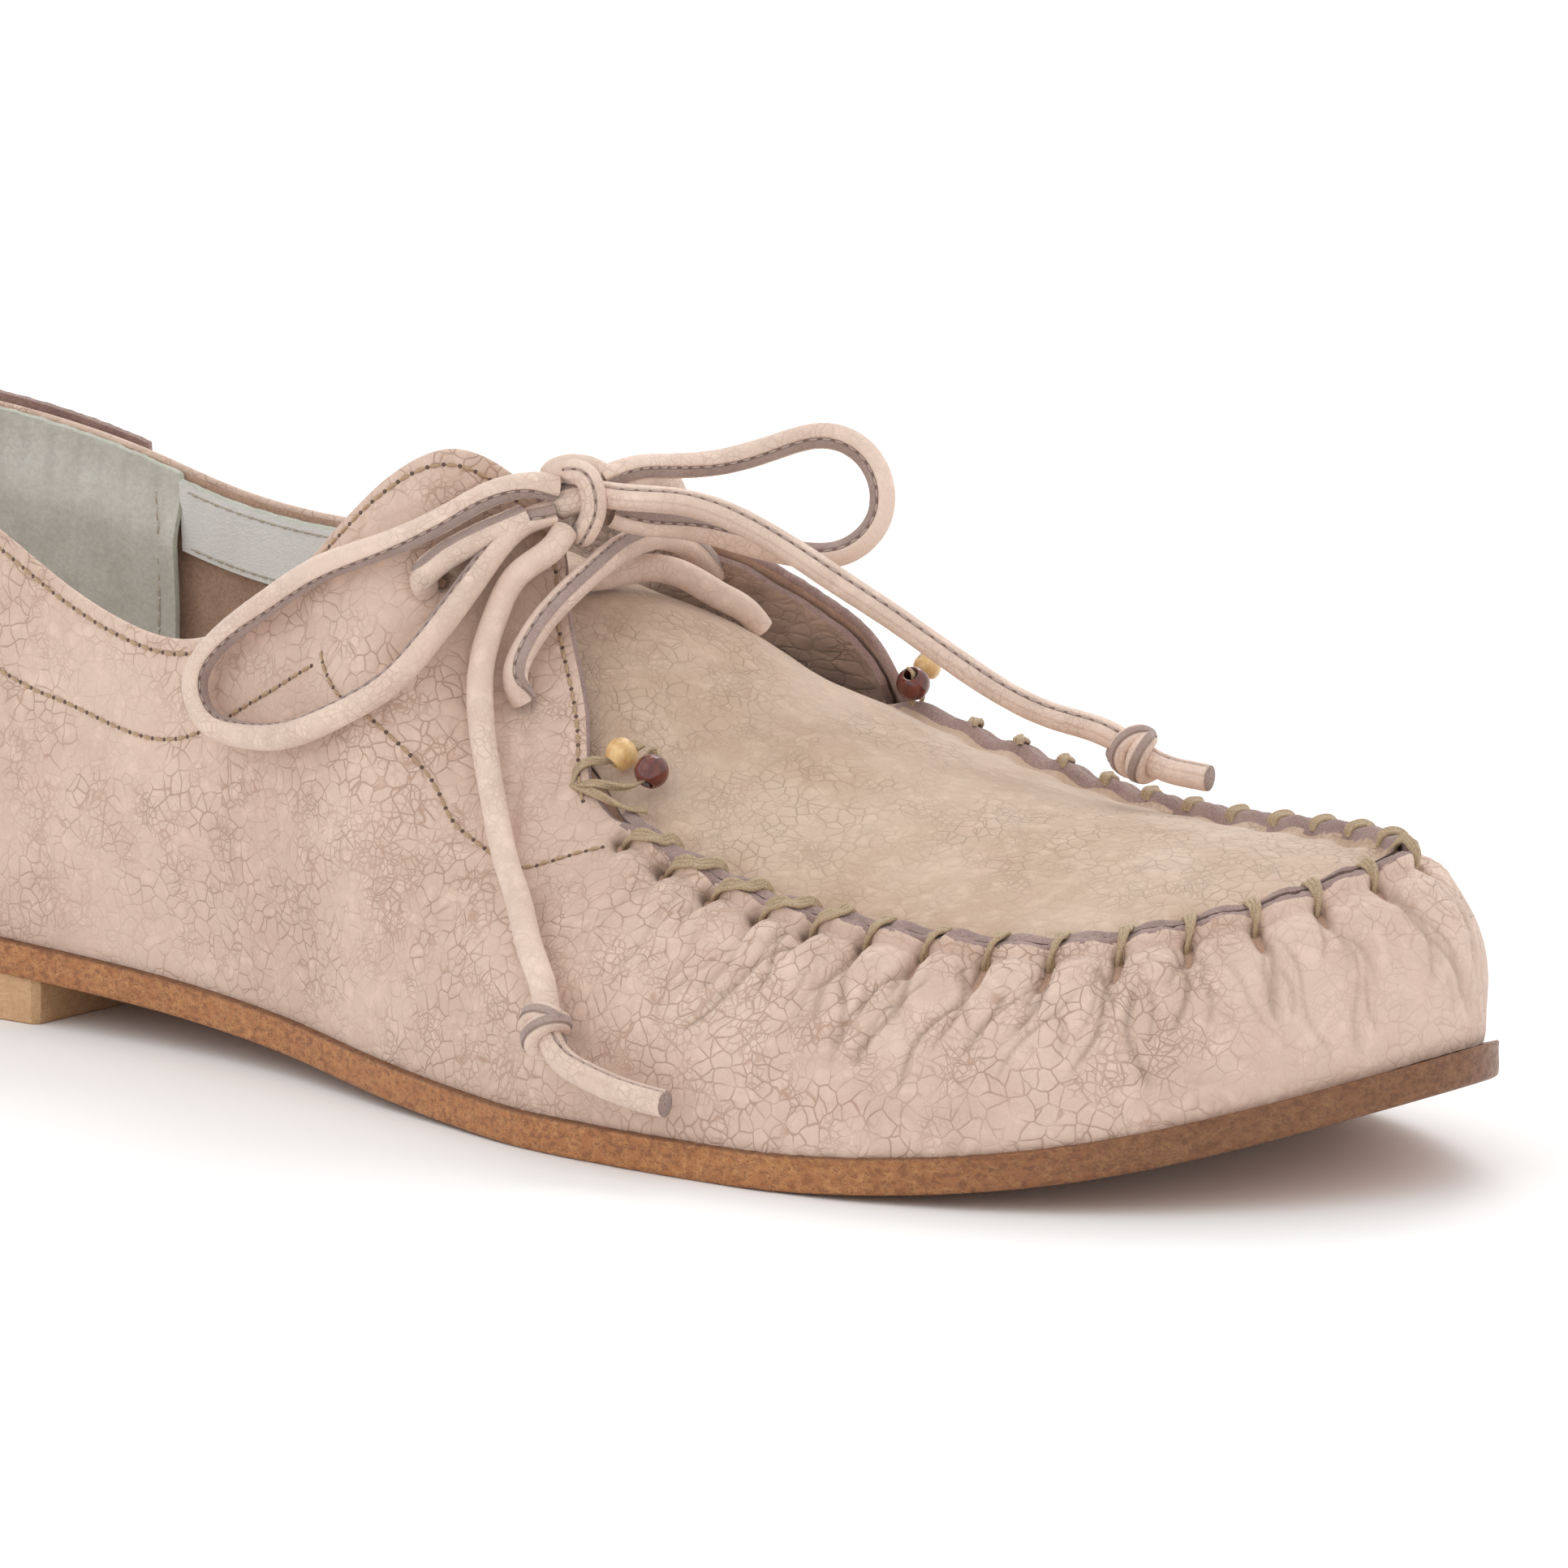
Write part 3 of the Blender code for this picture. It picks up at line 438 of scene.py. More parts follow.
def nubuck(name, light, tan, line, grain=0.5, cell=2.2, stretch=(1, 1, 1), depth=0.16):
    """Brushed grain leather: low pebbles parted by thin broken lines, cloudy colour, a soft nap."""
    look = Look(name, Roughness=0.88, Sheen_Weight=0.2, Sheen_Roughness=0.5, Specular_IOR_Level=0.25)
    space = look.warped(1.8, 0.28, look.warped(7.0, 1.8, look.stretched(stretch)))
    coarse, domes = look.cracks(cell, 0.13, space), look.cracks(cell, 0.6, space)
    fine = look.cracks(cell * 0.5, 0.12, space)
    broken = look.remap(look.noise(4.5, 2), 0.36, 0.56, 0.3, 1.0)
    region = look.remap(look.noise(22, 2), 0.36, 0.54, 0.3, 1.0)
    fine = look.maths("MULTIPLY", fine, look.remap(look.noise(5.2, 2), 0.44, 0.66, 0.1, 0.8))
    both = look.maths("MAXIMUM", look.maths("MULTIPLY", coarse, broken), fine)
    both = look.maths("MULTIPLY", both, region)
    colour = look.blend(look.remap(look.noise(17, 4), 0.35, 0.65), light, tan)
    nap = look.noise(0.17, 4, rough=0.7)
    colour = look.blend(look.remap(nap, 0.38, 0.62, 0.0, 0.13), colour, (0.30, 0.19, 0.14))
    pale = look.remap(look.noise(2.4, 3), 0.48, 0.72, 0.0, 0.45)
    colour = look.blend(pale, colour, tuple(min(1, c * 1.16) for c in light))
    rosy = look.remap(look.noise(6.5, 3), 0.50, 0.72, 0.0, 0.35)
    colour = look.blend(rosy, colour, (light[0] * 0.92, light[1] * 0.84, light[2] * 0.83))
    colour = look.blend(look.maths("MULTIPLY", both, grain), colour, line)
    # Painted shade: the vertex attribute darkens the leather in creases, holes, folds and grooves.
    colour = look.blend(look.maths("MULTIPLY", look.painted_shade_and_toe_tone(), 0.8), colour, tuple(c * 0.35 for c in line))
    height = look.maths("SUBTRACT", look.maths("MULTIPLY", nap, 0.2), look.maths("MULTIPLY", domes, 0.3))
    height = look.maths("SUBTRACT", height, look.maths("MULTIPLY", both, 0.5))
    return look.finish(colour, height, depth)


def suede(name, light, deep, size=0.35, depth=0.22, fibre=1.0):
    """A napped flesh side: short tangled fibres in two tones."""
    look = Look(name, Roughness=0.95, Sheen_Weight=0.35, Sheen_Roughness=0.4, Specular_IOR_Level=0.15)
    space = look.warped(0.8, 0.35)
    fuzz = look.noise(size, 5, space, 0.75)
    blotch = look.remap(look.noise(5, 3), 0.35, 0.68)
    tone = look.maths("ADD", look.maths("MULTIPLY", look.remap(fuzz, 0.32, 0.68), 0.65 * fibre),
                      look.maths("MULTIPLY", blotch, 0.35))
    colour = look.blend(tone, deep, light)
    # Painted shade: the vertex attribute darkens the nap in troughs, folds and grooves.
    colour = look.blend(look.maths("MULTIPLY", look.painted_shade_and_toe_tone(), 0.8), colour, tuple(c * 0.3 for c in deep))
    return look.finish(colour, fuzz, depth)


def smooth_leather(name, light, deep, roughness=0.5):
    look = Look(name, Roughness=roughness, Specular_IOR_Level=0.4)
    colour = look.blend(look.remap(look.noise(9, 3), 0.35, 0.65), light, deep)
    pores = look.cracks(0.55, 0.10, look.warped(1.2, 0.3))
    colour = look.blend(look.maths("MULTIPLY", pores, 0.12), colour, tuple(c * 0.6 for c in deep))
    # Painted shade from the vertex attribute.
    colour = look.blend(look.maths("MULTIPLY", look.painted_shade_and_toe_tone(), 0.8), colour, tuple(c * 0.3 for c in deep))
    height = look.maths("SUBTRACT", look.noise(0.5, 3), look.maths("MULTIPLY", pores, 0.4))
    return look.finish(colour, height, 0.06)


def sole_leather(name, base, dark, pale):
    """A cut and burnished edge: matted fibres, small blotches of dye and a waxed shine."""
    look = Look(name, Roughness=0.42, Specular_IOR_Level=0.5, Coat_Weight=0.12, Coat_Roughness=0.35)
    flat = look.stretched((1, 1, 1.5))
    space = look.warped(1.0, 0.5, flat)
    fibres = look.maths("MAXIMUM", look.cracks(1.0, 0.13, space),
                        look.maths("MULTIPLY", look.cracks(0.55, 0.09, space), 0.7))
    blotch = look.remap(look.noise(1.1, 4, look.warped(2, 0.8, flat), 0.65), 0.42, 0.62)
    tint = look.remap(look.noise(26, 2), 0.35, 0.65)
    colour = look.blend(look.maths("MULTIPLY", blotch, 0.75), base, dark)
    colour = look.blend(look.maths("MULTIPLY", tint, 0.25), colour, tuple(c * 0.75 for c in base))
    light_lines = look.maths("MULTIPLY", fibres, look.remap(look.noise(1.5, 2), 0.36, 0.66, 0.1, 0.6))
    colour = look.blend(light_lines, colour, pale)
    # Painted shade from the vertex attribute: the line at the joint under the upper, the welt top and the
    # bottom edge. The attribute also holds the edge's darker toe tone.
    colour = look.blend(look.painted_shade_and_toe_tone(), colour, tuple(c * 0.35 for c in dark))
    height = look.maths("ADD", look.maths("MULTIPLY", fibres, 0.5), look.noise(0.4, 3, space))
    rough = look.remap(blotch, 0, 1, 0.40, 0.55)
    return look.finish(colour, height, 0.08, rough)


def waxed_thread(name, light, deep, size=0.22):
    """Flat multi-strand thread: fine fibres that run along it, waxed."""
    look = Look(name, Roughness=0.55, Specular_IOR_Level=0.4)
    strands = look.noise(size, 4, look.warped(0.7, 0.2), 0.7)
    colour = look.blend(look.remap(strands, 0.34, 0.66), deep, light)
    # Painted shade from the vertex attribute.
    colour = look.blend(look.maths("MULTIPLY", look.painted_shade_and_toe_tone(), 0.9), colour, tuple(c * 0.2 for c in deep))
    return look.finish(colour, strands, 0.12)


def polished_bead(name, light, deep, ring, gloss):
    """A turned wooden bead with growth rings round its bore, lacquered."""
    look = Look(name, Roughness=gloss, Coat_Weight=0.6, Coat_Roughness=gloss * 0.6,
                Specular_IOR_Level=0.5)
    space = look.warped(2.5, 0.5, look.stretched((1, 1, ring)))
    figure = look.noise(0.9, 3, space)
    colour = look.blend(look.remap(figure, 0.35, 0.68), light, deep)
    # Painted shade from the vertex attribute, inside the bore.
    colour = look.blend(look.painted_shade_and_toe_tone(), colour, tuple(c * 0.25 for c in deep))
    return look.finish(colour, figure, 0.03)


def board(name, light, deep):
    look = Look(name, Roughness=0.85)
    flecks = look.noise(0.6, 4, look.stretched((1, 0.4, 1)), 0.7)
    colour = look.blend(look.remap(flecks, 0.35, 0.65), light, deep)
    return look.finish(colour, flecks, 0.1)


def brushed(name, tone):
    look = Look(name, Metallic=1.0, Roughness=0.35)
    streaks = look.noise(0.3, 3, look.stretched((0.05, 1, 1)))
    colour = look.blend(streaks, tuple(c * 0.8 for c in tone), tone)
    return look.finish(colour, streaks, 0.02, look.remap(streaks, 0.3, 0.7, 0.28, 0.45))


GRAIN_LINE = (0.35, 0.195, 0.12)
NUBUCK = nubuck("nubuck", (0.70, 0.53, 0.435), (0.625, 0.46, 0.37), GRAIN_LINE, grain=0.62)
APRON_NUBUCK = nubuck("apron_nubuck", (0.60, 0.455, 0.35), (0.52, 0.375, 0.27), (0.35, 0.215, 0.14),
                      grain=0.42, cell=1.9)
FACING_NUBUCK = nubuck("facing_nubuck", (0.55, 0.40, 0.32), (0.44, 0.305, 0.24), (0.20, 0.11, 0.075),
                       grain=0.7, cell=2.6, stretch=(0.8, 1, 1.4), depth=0.4)
LACE_LEATHER = nubuck("lace_leather", (0.78, 0.61, 0.51), (0.71, 0.55, 0.455), (0.42, 0.28, 0.21),
                      grain=0.3, cell=1.2, depth=0.10)
MAUVE = suede("mauve_suede", (0.50, 0.345, 0.31), (0.27, 0.17, 0.15), 0.32, 0.25)
LACE_FLESH = suede("lace_flesh", (0.50, 0.375, 0.33), (0.33, 0.235, 0.205), 0.28, 0.16)
FLESH = suede("brown_flesh", (0.70, 0.46, 0.34), (0.44, 0.275, 0.20), 0.5, 0.2)
TAB_SUEDE = suede("tab_suede", (0.41, 0.27, 0.23), (0.24, 0.145, 0.125), 0.4, 0.14)
GREY_SUEDE = suede("grey_suede", (0.75, 0.73, 0.67), (0.58, 0.555, 0.50), 0.7, 0.12)
CREAM = smooth_leather("cream_leather", (0.93, 0.92, 0.90), (0.87, 0.86, 0.83))
BINDING = suede("binding", (0.56, 0.57, 0.48), (0.42, 0.43, 0.36), 0.5, 0.12)
SOLE = sole_leather("sole_edge", (0.42, 0.155, 0.045), (0.18, 0.055, 0.02), (0.62, 0.33, 0.12))
HEEL = sole_leather("heel_edge", (0.58, 0.345, 0.175), (0.50, 0.285, 0.135), (0.67, 0.45, 0.25))
WAXED = waxed_thread("waxed_thread", (0.56, 0.43, 0.28), (0.36, 0.25, 0.15))
FINE_THREAD = waxed_thread("fine_thread", (0.62, 0.44, 0.28), (0.40, 0.26, 0.15), 0.1)
PALE_THREAD = waxed_thread("pale_thread", (0.72, 0.66, 0.56), (0.50, 0.43, 0.33), 0.1)
# Painted shade: dark looks for the flat capsules laid in the needle holes of the upper's rows and of the
# lace's seam.
PAINTED_HOLE_SHADE = waxed_thread("painted_hole_shade", (0.20, 0.12, 0.09), (0.08, 0.045, 0.035), 0.1)
NEEDLE_HOLE = waxed_thread("needle_hole", (0.30, 0.20, 0.165), (0.19, 0.12, 0.10), 0.1)
LACE_THREAD = waxed_thread("lace_thread", (0.62, 0.48, 0.42), (0.44, 0.32, 0.28), 0.1)
TAN_BEAD = polished_bead("tan_bead", (0.78, 0.52, 0.23), (0.62, 0.36, 0.13), 0.6, 0.30)
DARK_BEAD = polished_bead("dark_bead", (0.15, 0.024, 0.013), (0.07, 0.010, 0.006), 0.6, 0.12)
BOARD = board("leatherboard", (0.38, 0.27, 0.18), (0.26, 0.18, 0.11))
CORK = board("cork", (0.46, 0.29, 0.15), (0.26, 0.15, 0.07))
STEEL = brushed("steel", (0.62, 0.62, 0.64))


# ---------------------------------------------------------------- camera, lights and floor
CAMERA_AZIMUTH, CAMERA_ELEVATION = math.radians(37.5), math.radians(10.5)
CAMERA_TARGET, CAMERA_DISTANCE = np.array([150.0, 0.0, 30.0]), 1200.0
CAMERA_LENS, CAMERA_SHIFT = 220.8, (0.028, 0.0357)
TO_CAMERA = np.array([math.sin(CAMERA_AZIMUTH) * math.cos(CAMERA_ELEVATION),
                      -math.cos(CAMERA_AZIMUTH) * math.cos(CAMERA_ELEVATION),
                      math.sin(CAMERA_ELEVATION)])
TO_RIGHT = np.array([math.cos(CAMERA_AZIMUTH), math.sin(CAMERA_AZIMUTH), 0.0])
UP = np.array([0.0, 0.0, 1.0])


def make_camera():
    data = bpy.data.cameras.new("camera")
    data.lens = CAMERA_LENS
    data.shift_x, data.shift_y = CAMERA_SHIFT
    data.clip_start, data.clip_end = 0.05, 50
    camera = bpy.data.objects.new("camera", data)
    camera.location = place(CAMERA_TARGET + TO_CAMERA * CAMERA_DISTANCE)
    camera.rotation_mode = "QUATERNION"
    camera.rotation_quaternion = Vector(-TO_CAMERA).to_track_quat("-Z", "Y")
    bpy.context.scene.collection.objects.link(camera)
    bpy.context.scene.camera = camera


def make_light(name, direction, distance, size, power):
    """A soft square lamp that faces the shoe; direction points from the shoe to the lamp."""
    data = bpy.data.lights.new(name, "AREA")
    data.size = size
    data.energy = power
    lamp = bpy.data.objects.new(name, data)
    away = Vector(unit(direction))
    lamp.location = away * distance + Vector((0, 0, 0.04))
    lamp.rotation_mode = "QUATERNION"
    lamp.rotation_quaternion = away.to_track_quat("Z", "Y")
    bpy.context.scene.collection.objects.link(lamp)


def make_studio():
    floor_look = Look("floor", Roughness=0.9, Specular_IOR_Level=0.1)
    tone = floor_look.noise(400, 1)
    material = floor_look.finish(floor_look.blend(tone, (0.94, 0.94, 0.94), (0.95, 0.95, 0.95)))
    mesh = bpy.data.meshes.new("floor")
    reach = 6.0
    mesh.from_pydata([(-reach, -reach, 0), (reach, -reach, 0), (reach, reach, 0), (-reach, reach, 0)],
                     [], [(0, 1, 2, 3)])
    mesh.materials.append(material)
    floor = bpy.data.objects.new("floor", mesh)
    bpy.context.scene.collection.objects.link(floor)
    world = bpy.data.worlds.new("studio")
    world.use_nodes = True
    sky = world.node_tree.nodes["Background"]
    sky.inputs["Color"].default_value = (1.0, 1.0, 1.0, 1)
    sky.inputs["Strength"].default_value = 1.06
    bpy.context.scene.world = world
    make_light("behind", (-0.35, 0.85, 1.0), 1.5, 0.8, 6.5)
    make_light("front_left", TO_CAMERA * 0.8 - TO_RIGHT * 0.9 + UP * 0.75, 1.6, 1.0, 1.2)
    view = bpy.context.scene.view_settings
    view.view_transform = "Standard"
    view.look = "None"


# ---------------------------------------------------------------- the hand-sewn seam
SEAM_START, SEAM_END = float(station_s(18.6)), float(station_s(NOTCH_MEDIAL + 0.3))
STITCH_PITCH = 8.1            # between the hand stitches
FIRST_STITCH = 6.5            # from the notch to the first of them
LIP_HEIGHT = 1.7              # how far the two raw edges stand up at the seam
PILLOW = 1.35                 # how far the leather swells between two stitches
HOLE_DOWN = 1.6               # from the edge down to the hole each stitch comes out of
PINCH = 1.35                  # how deep a stitch pulls the leather in


def seam_places():
    """Where the hand stitches cross the seam, as s, evenly spaced along it."""
    s = np.linspace(station_s(NOTCH_LATERAL - 0.6), station_s(NOTCH_MEDIAL + 0.1), 600)
    run, length = along(wall(s, np.ones(600)))
    return np.interp(np.arange(FIRST_STITCH, length - 3, STITCH_PITCH), run, s)


STITCHES = seam_places()


def scallop(s):
    """0 at each hand stitch and 1 midway between two of them, and how far along s is from the last."""
    place_in = np.interp(s, STITCHES, np.arange(len(STITCHES)))
    f = place_in - np.floor(place_in)
    return np.sin(np.pi * f) ** 2, f


def seam_weight(s):
    return ease(SEAM_START, SEAM_START + 0.006, s) * ease(SEAM_END, SEAM_END - 0.006, s)


def sideways(s):
    """How far each stitch runs along the seam between its hole and the edge it goes over."""
    return np.interp(s, [STITCHES[0], STITCHES[3], STITCHES[5], STITCHES[14], STITCHES[-6], STITCHES[-1]],
                     [5.6, 5.2, 1.8, 0.0, -1.2, -3.4])


def make_creases():
    """Creases that run down from the stitches: start s, shift, drift for each mm, first and last
    depth below the edge, how deep and how wide."""
    rng = np.random.default_rng(11)
    creases = []
    for number, s in enumerate(STITCHES):
        strength = np.interp(number, [0, 3, 6, 10, 14, 18, len(STITCHES) - 1],
                             [0.15, 0.5, 1.0, 0.8, 0.35, 0.4, 0.2])
        lean = sideways(s) * 0.08
        for _ in range(3):
            drift = -lean + rng.normal(0, 0.2)
            creases.append((s, rng.uniform(-1.6, 1.6), drift, rng.uniform(2, 4.5), rng.uniform(11, 25),
                            strength * rng.uniform(0.2, 0.5), rng.uniform(0.45, 0.8)))
        middle = s + 0.5 * (STITCHES[1] - STITCHES[0])
        for _ in range(2):
            creases.append((middle, rng.uniform(-2, 2), rng.normal(0, 0.25), rng.uniform(6, 9),
                            rng.uniform(14, 25), strength * rng.uniform(0.15, 0.35),
                            rng.uniform(0.4, 0.7)))
    return creases


def seam_relief(s, down, scale, points):
    """Height that the hand-sewn seam gives the vamp, and painted shade in its holes, slits, creases and fold
    troughs. down is the distance below the top edge and scale the millimetres round the shoe for each unit
    of s."""
    near = seam_weight(s)
    bulge, f = scallop(s)
    lip = LIP_HEIGHT * (0.72 + 0.28 * bulge) * ease(1.7, 0.6, down)
    calm = 1 - 0.5 * bell(s - STATION_S[TOE_TIP], 0.05)
    pillow = calm * PILLOW * bulge ** 0.6 * bell(down - 4.2, 3.0)
    height = near * (lip + pillow)
    dark = np.zeros_like(height)
    for number, place_s in enumerate(STITCHES):
        window = np.flatnonzero(np.abs(s[:, 0] - place_s) < 0.03)
        part = np.ix_(window, np.arange(s.shape[1]))
        offset = (s[part] - place_s) * scale[part]
        reach = np.interp(number, [0, 4, 7, 11, 14, len(STITCHES) - 5, len(STITCHES)],
                          [2.6, 3.4, 6.5, 5.0, 3.4, 4.4, 3.5])
        depth = ease(reach + 2, reach - 1.5, down[part]) * ease(0.2, 1.6, down[part])
        groove = bell(offset, 0.8) * depth
        height[part] -= PINCH * groove + 0.25 * bell(offset, 2.2) * depth
        wide = np.interp(number, [0, 4, 6], [1.2, 1.0, 0.5])
        slot = bell(offset, wide) * bell(down[part] - HOLE_DOWN - 0.4, 0.8)
        slit = bell(offset, 0.4) * bell(down[part] - reach * 0.6, reach * 0.28)
        height[part] -= 1.3 * slot + 0.7 * slit
        # Painted shade in the hole each stitch comes out of and in the slit it pulls.
        dark[part] = np.maximum(dark[part], np.maximum(1.9 * slot, 1.2 * slit))
    for place_s, shift, drift, first, last, depth, width in make_creases():
        window = np.flatnonzero(np.abs(s[:, 0] - place_s) < 0.045)
        part = np.ix_(window, np.arange(s.shape[1]))
        wander = 0.8 * np.sin(down[part] * 0.45 + shift * 3)
        offset = (s[part] - place_s) * scale[part] - shift - drift * (down[part] - first) - wander
        line = (bell(offset, width) * ease(first - 2, first + 1.5, down[part])
                * ease(last, last - 6, down[part]))
        height[part] -= depth * line
        height[part] += 0.35 * depth * bell(np.abs(offset) - 2 * width, width) * line.max(initial=0)
        # Painted shade along each crease.
        dark[part] = np.maximum(dark[part], 0.55 * line ** 2 * min(1, depth / 0.3))
    folds = np.sin((down - 1.6 * np.abs(f - 0.42) * 3.2) * 2 * np.pi / 1.5 + 1.2 * noise(points, 5, 21))
    shells = bell(down - 4.2, 1.9) * np.sin(np.pi * f) ** 0.5 * near
    height += 0.07 * folds * shells
    # Painted shade in the troughs of the small folds.
    dark += 0.16 * ease(-0.55, -0.98, folds) * shells
    return height, np.clip(dark, 0, 1)


# ---------------------------------------------------------------- the upper
# Machine-stitched rows on the upper: (station, millimetres below the top edge) from end to end.
FINE_ROWS = {
    "collar": [(0.0, 2.0), (3, 1.5), (6, 1.4), (8.4, 1.5), (9.6, 1.6), (11, 1.7), (12.2, 1.7)],
    "throat": [(12.2, 1.7), (13.4, 2.0), (14.2, 2.2), (15.4, 2.0), (17.0, 1.8), (18.1, 1.9)],
    "collar_inner": [(50.0, 2.0), (48, 1.6), (45, 1.5), (43.4, 1.5), (42, 1.6), (40.6, 1.8)],
    "throat_inner": [(40.6, 1.8), (39.4, 2.0), (38.2, 2.0), (37, 2.0), (36, 2.0)],
    "counter_band": [(0.0, 20), (2.2, 18.5), (4.2, 16.5), (5.2, 13.5), (6.3, 12.4), (7.2, 12.0),
                     (8.0, 12.5), (8.9, 15.0), (9.7, 17.5)],
    "facing_patch": [(9.9, 16.5), (11.0, 28), (12.4, 36), (14.2, 36), (15.8, 29.5), (17.2, 20.5),
                     (18.3, 10), (18.9, 4)],
    "counter_band_inner": [(50.0, 20), (47.8, 18), (46, 14), (45, 12.4), (44, 13), (43, 16)],
    "facing_patch_inner": [(42.4, 16), (41.4, 27), (40, 33), (38.4, 31), (37, 24), (36, 15), (35.5, 7)]}


class Upper:
    """The moccasin body's outer surface as a fine grid, and how to find a point of it."""

    def __init__(self):
        fine = np.linspace(0, 1, 4001)[:-1]
        speed = np.linalg.norm(wall(fine + 1e-4, 0.3) - wall(fine - 1e-4, 0.3), axis=-1) / 2e-4
        front = ease(station_s(12.5), station_s(14), fine) * ease(station_s(38.5), station_s(36.5), fine)
        pitch = 0.62 - 0.17 * front
        count = np.concatenate([[0], np.cumsum(speed / pitch)[:-1] / 4000])
        self.s = np.interp(np.arange(int(count[-1])), count, fine)
        rows = np.linspace(0, 1, 112)
        t = 1 - (1 - rows) ** 1.3
        self.t = np.broadcast_to(t, (len(self.s), len(t)))
        grid_s = np.broadcast_to(self.s[:, None], self.t.shape)
        base = wall(grid_s, self.t)
        self.normal = wall_normal(grid_s, self.t)
        step = 1e-4
        across = wall(grid_s + step, self.t) - wall(grid_s - step, self.t)
        self.scale = np.linalg.norm(across, axis=-1) / (2 * step)
        steps = np.linalg.norm(np.diff(base, axis=1), axis=-1)
        from_top = np.cumsum(steps[:, ::-1], axis=1)[:, ::-1]
        self.down = np.concatenate([from_top, np.zeros((len(self.s), 1))], 1)
        height, self.dark = seam_relief(grid_s, self.down, self.scale, base)
        height += self.soft_relief(grid_s, base)
        self.points = base + self.normal * height[..., None]

    def soft_relief(self, s, base):
        """Slack in the leather: broad dents, folds by the facing, and the rows' needle lines."""
        still = ease(0, 6, self.down) * ease(0, 0.12, self.t)
        rear = 1 - seam_weight(s) * 0.6
        height = still * rear * (0.42 * noise(base, 21, 3) + 0.22 * noise(base, 9, 4))
        height += still * 0.055 * noise(base, 2.3, 5)
        for station, down, length, width, lean, depth in (
                (9.0, 9, 17, 2.6, 0.7, 1.0), (10.2, 13, 12, 2.2, -0.5, 0.55), (12.4, 24, 15, 3, 0.3, 0.5),
                (2.9, 52, 8, 1.6, 0.1, 0.35), (43.4, 12, 14, 2.6, -0.6, 0.8), (16.6, 17, 12, 2.4, 0.9, 0.4)):
            across = (s - station_s(station)) * self.scale
            below = self.down - down
            height -= depth * bell(across - lean * below, width) * bell(below, length * 0.5)
        for row in FINE_ROWS.values():
            stations = np.array([p[0] for p in row])
            lines_s = stations_to_s(stations)
            order = np.argsort(lines_s)
            wanted = np.interp(s, lines_s[order], np.array([p[1] for p in row])[order])
            inside = (s >= lines_s.min()) & (s <= lines_s.max())
            steep = np.abs(self.down - wanted)
            height -= 0.13 * bell(steep, 0.55) * inside
        flank = 1 - 0.75 * bell(s - STATION_S[TOE_TIP], 0.06)
        height += 1.1 * flank * ease(0.16, 0.0, self.t)
        for station, t in EYELETS:
            away = np.hypot((s - station_s(station)) * self.scale, (self.t - t) * self.down[:, :1])
            height -= 1.3 * ease(1.75, 0.9, away) - 0.10 * bell(away - 2.1, 0.6)
            # Painted shade in the eyelet holes.
            self.dark = np.maximum(self.dark, ease(1.6, 0.9, away))
        return height

    def at(self, s, down):
        """The point and the outward direction at s, down millimetres below the top edge."""
        s, down = np.broadcast_arrays(np.asarray(s, float) % 1.0, np.asarray(down, float))
        column = np.interp(s, self.s, np.arange(len(self.s)))
        low = np.clip(column.astype(int), 0, len(self.s) - 2)
        share = (column - low)[..., None]
        found = []
        for index in (low, low + 1):
            rows = np.array([np.interp(-d, -self.down[i], np.arange(self.down.shape[1]))
                             for i, d in zip(index.ravel(), down.ravel())]).reshape(s.shape)
            base = np.clip(rows.astype(int), 0, self.down.shape[1] - 2)
            part = (rows - base)[..., None]
            found.append([grid[index, base] * (1 - part) + grid[index, base + 1] * part
                          for grid in (self.points, self.normal)])
        point, normal = (a * (1 - share) + b * share for a, b in zip(*found))
        return point, unit(normal)


def stations_to_s(stations):
    """s for stations in running order; a row that starts behind the heel at station 50 ends at 1."""
    return np.where(np.asarray(stations) >= len(STATIONS), 1.0, station_s(stations))


def make_upper(upper):
    """The moccasin body: grain outside, raw edges at the throat and seam, flesh side inside."""
    s, n = upper.s, len(upper.s)
    raw = ease(station_s(12.6), station_s(13.6), s) * ease(station_s(39.6), station_s(38.8), s)
    seam = seam_weight(s)
    top, normal = upper.points[:, -1], upper.normal[:, -1]
    base = wall(s, np.ones(n))
    inward = unit(base - wall(s, np.full(n, 0.985)))
    fuzz = 0.14 * noise(np.repeat(base[:, None], 6, 1) + np.arange(6)[None, :, None] * 0.7, 0.5, 31)
    edge = []
    for k, (reach, drop) in enumerate(((0.25, 0.08), (0.5, 0.35), (0.58, 0.7), (0.5, 1.0), (0.22, 1.25))):
        edge.append(top + inward * (reach * (1 + 0.5 * seam) + fuzz[:, k] * raw)[:, None]
                    - normal * (drop * (1 + 0.35 * seam) - fuzz[:, k + 1] * raw)[:, None])
    edge = np.stack(edge, 1)
    inner_t = np.concatenate([np.linspace(1, 0.9, 4), np.linspace(0.85, 0.02, 13)])
    inner_s = np.broadcast_to(s[:, None], (n, len(inner_t)))
    inner_t = np.broadcast_to(inner_t, inner_s.shape)
    inside = wall(inner_s, inner_t) - wall_normal(inner_s, inner_t) * LEATHER
    shape = Shape()
    points = np.concatenate([upper.points, edge, inside], 1)
    rows = upper.points.shape[1]
    kinds = np.zeros((n, points.shape[1] - 1), int)
    kinds[:, rows - 1:rows + 5] = np.where(raw > 0.5, 1, 0)[:, None]
    kinds[:, rows + 5:] = 2
    crest = upper.down[:, 1:] < 0.6 + 0.3 * noise(base, 1.1, 33)[:, None]
    kinds[:, :rows - 1] = np.where(crest & (seam > 0.5)[:, None], 1, kinds[:, :rows - 1])
    dark = np.concatenate([upper.dark, np.zeros((n, points.shape[1] - rows))], 1)
    shape.grid(points, kinds, dark, loop=True)
    return shape.build("upper_body", "shoe", [NUBUCK, MAUVE, FLESH], "nubuck", ["upper_body"])


